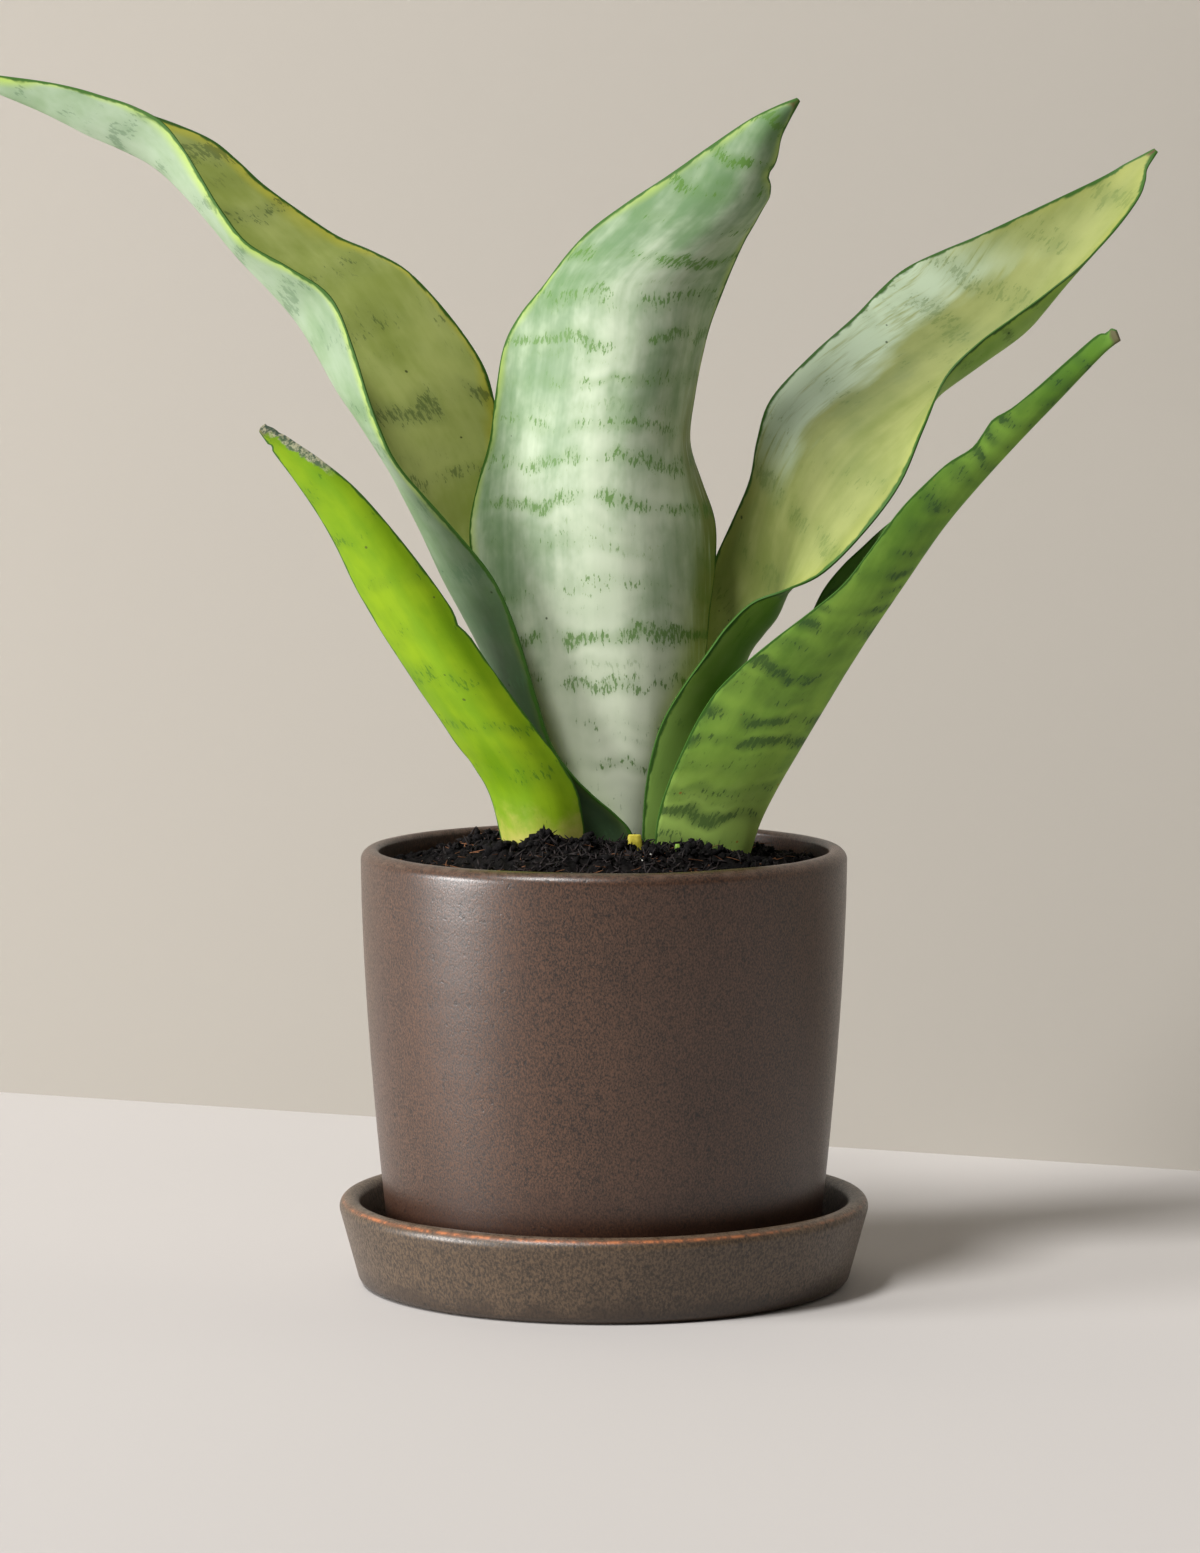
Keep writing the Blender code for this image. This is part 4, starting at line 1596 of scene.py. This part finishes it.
POT_WARE = Stoneware(
    name="Brown stoneware",
    light=srgb(92, 65, 49),
    dark=srgb(26, 18, 14),
    foot=srgb(50, 28, 19),
    pit=srgb(26, 19, 16),
    # the lighter line round the rim's crest is partly wear and partly a painted highlight
    wear_and_sheen=srgb(112, 92, 78),
    foot_level=(20 * MM, 44 * MM),
    grain=0.46 * MM,
    relief=0.14 * MM,
    gloss=(0.38, 0.3),
    wear_and_sheen_level=134.4 * MM,
    wear_and_sheen_width=2.0 * MM,
    wear_and_sheen_break=0.52,
    wear_and_sheen_strength=0.35,
)
SAUCER_WARE = GlazedSaucer(
    name="Olive brown stoneware",
    light=srgb(98, 79, 60),
    dark=srgb(42, 33, 24),
    foot=srgb(48, 36, 26),
    pit=srgb(24, 19, 15),
    wear_and_sheen=srgb(116, 99, 82),
    foot_level=(2 * MM, 9 * MM),
    grain=0.7 * MM,
    relief=0.22 * MM,
    gloss=(0.46, 0.36),
    wear_and_sheen_level=27.0 * MM,
    wear_and_sheen_width=1.4 * MM,
    wear_and_sheen_break=0.5,
    wear_and_sheen_strength=0.45,
    rust=srgb(112, 72, 48),
    rust_light=srgb(178, 108, 64),
    rust_level=26.1 * MM,
    rust_radius=79.6 * MM,
    rust_facing=(-0.3, -0.95),
)

SILVER_BACK = LeafSkin(
    name="Silver leaf back",
    pale=srgb(186, 197, 172),
    body=srgb(100, 130, 88),
    band=srgb(84, 122, 52),
    zone=srgb(174, 194, 84),
    foot=srgb(224, 231, 206),
    silver=0.66,
    silver_rise=-0.7,
    # painted shade on the near half, which faces the side light
    near_painted_shade=0.28,
    # the dark olive strip beside the far margin is partly the tissue's own tone and partly painted shade on
    # the side turned from the light
    strip=srgb(114, 124, 46),
    strip_strength=0.85,
    strip_span=(0.12, 0.66),
    strip_reach=(20 * MM, 7 * MM),
    band_spacing=6.6 * MM,
    band_strength=0.85,
    band_top=0.5,
    streaks=0.16,
    zone_width=4 * MM,
    zone_strength=0.6,
    foot_reach=94 * MM,
    fleck_share=0.06,
    seed=0.1,
)
SILVER_FACE = LeafSkin(
    name="Silver leaf face",
    pale=srgb(170, 188, 130),
    body=srgb(126, 150, 76),
    band=srgb(76, 106, 46),
    zone=srgb(176, 186, 60),
    foot=srgb(140, 164, 84),
    silver=0.4,
    band_strength=0.5,
    zone_width=6 * MM,
    zone_strength=0.8,
    seed=0.2,
)
OLIVE_BACK = LeafSkin(
    name="Olive leaf back",
    pale=srgb(158, 174, 148),
    body=srgb(112, 140, 96),
    band=srgb(70, 102, 68),
    zone=srgb(168, 192, 70),
    # this face's dark tone low down, out to foot_reach, is painted shade
    foot=srgb(42, 64, 38),
    silver=0.45,
    silver_rise=0.5,
    band_spacing=9 * MM,
    band_strength=0.5,
    zone_width=3.4 * MM,
    zone_strength=0.8,
    foot_reach=165 * MM,
    seed=0.3,
)
OLIVE_FACE = LeafSkin(
    name="Olive leaf face",
    pale=srgb(184, 194, 114),
    body=srgb(146, 160, 74),
    band=srgb(64, 88, 44),
    zone=srgb(202, 196, 58),
    foot=srgb(112, 136, 54),
    silver=0.45,
    band_spacing=13 * MM,
    band_width=0.5,
    band_strength=0.62,
    zone_width=6 * MM,
    zone_strength=0.75,
    fleck_share=0.2,
    seed=0.4,
)
RIGHT_BACK = LeafSkin(
    name="Right leaf back",
    pale=srgb(150, 182, 92),
    body=srgb(112, 154, 46),
    band=srgb(48, 84, 32),
    zone=srgb(152, 188, 58),
    foot=srgb(150, 190, 90),
    silver=0.4,
    band_strength=0.4,
    zone_width=3 * MM,
    foot_reach=90 * MM,
    seed=0.5,
)
RIGHT_FACE = LeafSkin(
    name="Right leaf face",
    pale=srgb(154, 160, 96),
    body=srgb(122, 134, 66),
    band=srgb(84, 108, 44),
    zone=srgb(164, 166, 78),
    # this face's pale tone low down, out to foot_reach, is painted light over the shade that falls there
    foot=srgb(206, 216, 142),
    foot_reach=95 * MM,
    tip=srgb(86, 60, 36),
    silver=0.5,
    silver_rise=0.2,
    band_spacing=10 * MM,
    band_width=0.7,
    band_soft=0.6,
    band_strength=0.5,
    streaks=0.2,
    zone_width=8 * MM,
    zone_strength=0.35,
    line_width=1.3 * MM,
    strip_strength=0.85,
    strip_span=(0.4, 0.86),
    fleck_share=0.1,
    seed=0.6,
)
LIME_BACK = LeafSkin(
    name="Lime leaf back",
    pale=srgb(138, 166, 14),
    body=srgb(102, 140, 0),
    band=srgb(66, 106, 18),
    zone=srgb(130, 168, 24),
    foot=srgb(186, 172, 92),
    tip=srgb(120, 116, 80),
    fleck=srgb(62, 70, 24),
    rib=srgb(96, 144, 12),
    scar=srgb(70, 84, 72),
    silver=0.4,
    band_spacing=9 * MM,
    band_width=0.6,
    band_strength=0.75,
    zone_width=4 * MM,
    zone_strength=0.35,
    line_width=0.8 * MM,
    foot_reach=25 * MM,
    tip_reach=3 * MM,
    fleck_share=0.24,
    rib_strength=0.35,
    specular=0.2,
    scar_from=0.84,
    seed=0.7,
)
DEEP_BACK = LeafSkin(
    name="Deep leaf back",
    pale=srgb(142, 182, 70),
    body=srgb(88, 130, 36),
    band=srgb(36, 70, 38),
    zone=srgb(104, 150, 60),
    foot=srgb(172, 204, 100),
    tip=srgb(90, 86, 56),
    fleck=srgb(176, 112, 40),
    silver=0.5,
    silver_rise=-0.7,
    band_spacing=4.0 * MM,
    band_width=0.95,
    band_break=0.95,
    band_soft=0.85,
    band_strength=0.75,
    zone_width=4 * MM,
    zone_strength=0.3,
    line_width=0.8 * MM,
    foot_reach=46 * MM,
    tip_reach=3 * MM,
    fleck_share=0.2,
    seed=0.8,
)
# the short right leaf's inner face is painted dark green all over: painted shade
DEEP_FACE_PAINTED_SHADE = LeafSkin(
    name="Deep leaf face in painted shade",
    pale=srgb(96, 126, 52),
    body=srgb(60, 94, 30),
    band=srgb(34, 60, 34),
    zone=srgb(78, 116, 40),
    foot=srgb(70, 96, 34),
    silver=0.4,
    line_width=0.8 * MM,
    seed=0.9,
)

PEAT = Plain("Peat", srgb(17, 13, 12), srgb(6, 5, 5), 2 * MM, 0.95, 0.5 * MM, srgb(76, 54, 42), 0.15)
# the crumbs' grey-mauve specks, srgb(64, 54, 58), are painted glints
CRUMB = Plain(
    "Peat crumbs", srgb(18, 14, 14), srgb(5, 4, 5), 1.2 * MM, 0.9, 0.4 * MM, srgb(64, 54, 58), 0.16
)
FIBRE = Plain("Coir fibre", srgb(150, 100, 66), srgb(82, 50, 32), 4 * MM, 0.8, 0.05 * MM)
STICK = Plain("Dark stick", srgb(42, 32, 31), srgb(12, 9, 9), 2 * MM, 0.8, 0.1 * MM)
PERLITE = Plain("Perlite", srgb(236, 232, 222), srgb(196, 190, 178), 0.8 * MM, 0.8, 0.1 * MM)
SHEATH_YELLOW = Plain("Yellow sheath", srgb(228, 212, 84), srgb(186, 172, 50), 3 * MM, 0.55, 0.1 * MM)
SHEATH_GREEN = Plain("Green sheath", srgb(132, 166, 62), srgb(84, 122, 36), 3 * MM, 0.55, 0.1 * MM)
ROOT_SKIN = Plain(
    "Root skin", srgb(224, 190, 136), srgb(176, 132, 78), 5 * MM, 0.7, 0.2 * MM, srgb(140, 96, 56)
)

CLUMPS = (
    Clump(-18, -27, 6.5, 5.6, 60),
    Clump(-6, -28, 5.5, 4.2, 46),
    Clump(26, -31, 5.5, 5.8, 56),
    Clump(-31, -24, 5.5, 3.0, 30),
    Clump(4, -29, 4.5, 2.6, 24),
    Clump(15, -31, 4.0, 2.8, 24),
    Clump(41, -22, 6.0, 2.6, 30),
    Clump(-44, -6, 8.0, 2.4, 40),
    Clump(-38, 12, 8.0, 2.0, 30),
    Clump(46, 2, 7.0, 1.8, 28),
    Clump(20, 34, 9.0, 2.2, 40),
    Clump(-12, 33, 8.0, 1.8, 34),
)

LEAVES = (
    Leaf("leaf_left_tall", "left_tall_blade", "leaf_olive", Vector((0, -1, 0)), OLIVE_BACK, OLIVE_FACE),
    Leaf(
        "leaf_left_short",
        "left_short_blade",
        "leaf_lime",
        Vector((1, 0, 0)),
        LIME_BACK,
        LIME_BACK,
        nicks=(
            Nick(True, 0.5, 0.1, 0.012),
            Nick(True, 0.93, 0.3, 0.012),
            Nick(False, 0.9, 0.22, 0.01),
            Nick(True, 0.985, 0.35, 0.012),
        ),
    ),
    Leaf(
        "leaf_centre",
        "centre_blade",
        "leaf_silver",
        Vector((-1, 0, 0)),
        SILVER_BACK,
        SILVER_FACE,
        columns=44,
        nicks=(
            Nick(False, 0.86, 0.2, 0.012),
            Nick(False, 0.9, -0.12, 0.02),
            Nick(False, 0.82, -0.06, 0.014),
        ),
    ),
    Leaf("leaf_right_tall", "right_tall_blade", "leaf_olive", Vector((0, -1, 0)), RIGHT_BACK, RIGHT_FACE),
    Leaf(
        "leaf_right_short",
        "right_short_blade",
        "leaf_deep",
        Vector((0, -1, 0)),
        DEEP_BACK,
        DEEP_FACE_PAINTED_SHADE,
        nicks=(
            Nick(True, 0.93, 0.12, 0.02),
            Nick(True, 0.7, 0.08, 0.02),
            Nick(True, 0.745, -0.06, 0.014),
            Nick(False, 0.74, 0.4, 0.17),
        ),
    ),
)

BRACTS = (
    Bract("bract_front", "front_sheath", SHEATH_YELLOW, 0.55, True),
    Bract("bract_right", "right_sheath", SHEATH_GREEN, 0.35, False),
)


# --- Stage ---------------------------------------------------------------------------------------


class LightRole(Enum):
    """What a light is for."""

    KEY = "Key light"
    WINDOW = "Window light"


@dataclass(frozen=True)
class SoftLight:
    """A soft light that faces the object, either far off or a large panel close by."""

    role: LightRole
    azimuth: float  # degrees from the front towards the left
    elevation: float
    power: float
    spread: float  # the key's angle in degrees, or the panel's side
    distance: float = 2.6
    aim_height: float = 0.12
    colour: tuple[float, float, float] = (1.0, 1.0, 1.0)

    def build(self) -> None:
        """Adds the light."""
        kind = "SUN" if self.role is LightRole.KEY else "AREA"
        lamp = bpy.data.lights.new(self.role.value, kind)
        if self.role is LightRole.KEY:
            lamp.angle = math.radians(self.spread)
        else:
            lamp.shape = "SQUARE"
            lamp.size = self.spread
        lamp.energy = self.power
        lamp.color = self.colour
        side, lift = math.radians(self.azimuth), math.radians(self.elevation)
        away = Vector((-math.sin(side) * math.cos(lift), -math.cos(side) * math.cos(lift), math.sin(lift)))
        made = shown(self.role.value, lamp)
        made.location = away * self.distance + Vector((0, 0, self.aim_height))
        made.rotation_euler = away.to_track_quat("Z", "Y").to_euler()
        made.visible_camera = False


@dataclass
class Studio:
    """The pale floor, the plain backdrop, the soft lights and the camera."""

    floor_colour: Colour = srgb(199, 194, 190)
    wall_colour: Colour = srgb(154, 148, 139)
    wall_start: Pair = (-0.223, 0.383)  # where the wall meets the floor
    wall_end: Pair = (0.205, 0.205)
    wall_height: float = 3.0
    wall_half: float = 5.0
    floor_half: float = 12.0
    camera_place: tuple[float, float, float] = (-0.0012, -1.8, 0.3342)
    camera_down: float = 5.62  # degrees below level
    camera_lens: float = 136.07
    lights: tuple[SoftLight, ...] = (
        SoftLight(LightRole.KEY, 40.0, 55.0, 2.75, 16.0),
        SoftLight(LightRole.WINDOW, 72.0, 8.0, 88.0, 0.95),
    )

    def sheet(self, name: str, colour: Colour, one_sided: bool) -> Material:
        """Builds a smooth painted finish.

        Args:
            name: Its name.
            colour: Its colour.
            one_sided: True if it is clear from behind.

        Returns:
            The material.
        """
        w = Finish(name)
        tone = w.ease(w.noise(w.place(), 0.6, 2), 0.3, 0.7, 0.97, 1.0)
        if one_sided:
            clear = w.node("ShaderNodeBsdfTransparent").outputs[0]
            behind = w.node("ShaderNodeNewGeometry").outputs["Backfacing"]
            choice = w.fill(w.node("ShaderNodeMixShader"), behind, w.shader.outputs[0], clear)
            w.fill(w.tree.nodes["Material Output"], Surface=choice.outputs[0])
        return w.done(Base_Color=w.mix(1.0, colour, w.joined(tone, tone, tone), "MULTIPLY"), Roughness=0.85)

    def plane(self, name: str, material: Material, matrix: Matrix) -> None:
        """Adds a large flat sheet to the stage.

        Args:
            name: Its name.
            material: Its finish.
            matrix: Where a two metre square goes.
        """
        shape = bmesh.new()
        bmesh.ops.create_grid(shape, x_segments=1, y_segments=1, size=1, matrix=matrix)
        mesh = closed_off(shape, name)
        mesh.materials.append(material)
        shown(name, mesh)

    def build(self) -> None:
        """Builds the stage."""
        floor = Matrix.Scale(self.floor_half, 4)
        self.plane("floor", self.sheet("Pale floor", self.floor_colour, False), floor)
        start, end = (Vector((*at, 0)) for at in (self.wall_start, self.wall_end))
        along = (end - start).normalized()
        towards = Vector((along.y, -along.x, 0))
        middle = (start + end) / 2 + Vector((0, 0, self.wall_height / 2 - 0.002))
        turn = Matrix((along, Vector((0, 0, 1)), towards)).transposed().to_4x4()
        size = Matrix.Diagonal((self.wall_half, self.wall_height / 2, 1, 1))
        wall = Matrix.Translation(middle) @ turn @ size
        self.plane("backdrop", self.sheet("Backdrop", self.wall_colour, True), wall)
        for light in self.lights:
            light.build()
        self.air()
        self.camera()

    def air(self) -> None:
        """Fills the studio with a faint even light."""
        world = bpy.data.worlds.new("Studio air")
        world.use_nodes = True
        sky = world.node_tree.nodes["Background"]
        sky.inputs["Color"].default_value = srgb(240, 240, 240)
        sky.inputs["Strength"].default_value = 0.1
        bpy.context.scene.world = world
        bpy.context.scene.view_settings.view_transform = "Standard"

    def camera(self) -> None:
        """Sets up the camera, level but for a small tilt down."""
        lens = bpy.data.cameras.new("Camera")
        lens.lens = self.camera_lens
        lens.sensor_width = 36.0
        lens.clip_start = 0.05
        lens.clip_end = 50.0
        made = shown("Camera", lens)
        made.location = self.camera_place
        made.rotation_euler = (math.radians(90 - self.camera_down), 0, 0)
        bpy.context.scene.camera = made


# --- Main ----------------------------------------------------------------------------------------


def dress_roots(nodes: dict[str, Thing]) -> None:
    """Gives the rhizome and the roots, which stay as they are, their skin.

    Args:
        nodes: The frame's nodes.
    """
    skin = ROOT_SKIN.material()
    for name, node in nodes.items():
        if name == "rhizome" or name.startswith("root_"):
            node.data.materials[0] = skin
            log.info("%s: dressed", name)


def main() -> None:
    """Builds the looks round the frame."""
    logging.basicConfig(level=logging.INFO, format="%(message)s")
    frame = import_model()
    Studio().build()
    Pot(finish=POT_WARE).build()
    Saucer(finish=SAUCER_WARE).build()
    PottingMix(PEAT, CRUMB, FIBRE, STICK, PERLITE, CLUMPS).build()
    for leaf in LEAVES:
        leaf.build()
    for bract in BRACTS:
        bract.build()
    dress_roots(frame["nodes"])


if __name__ == "__main__":
    main()
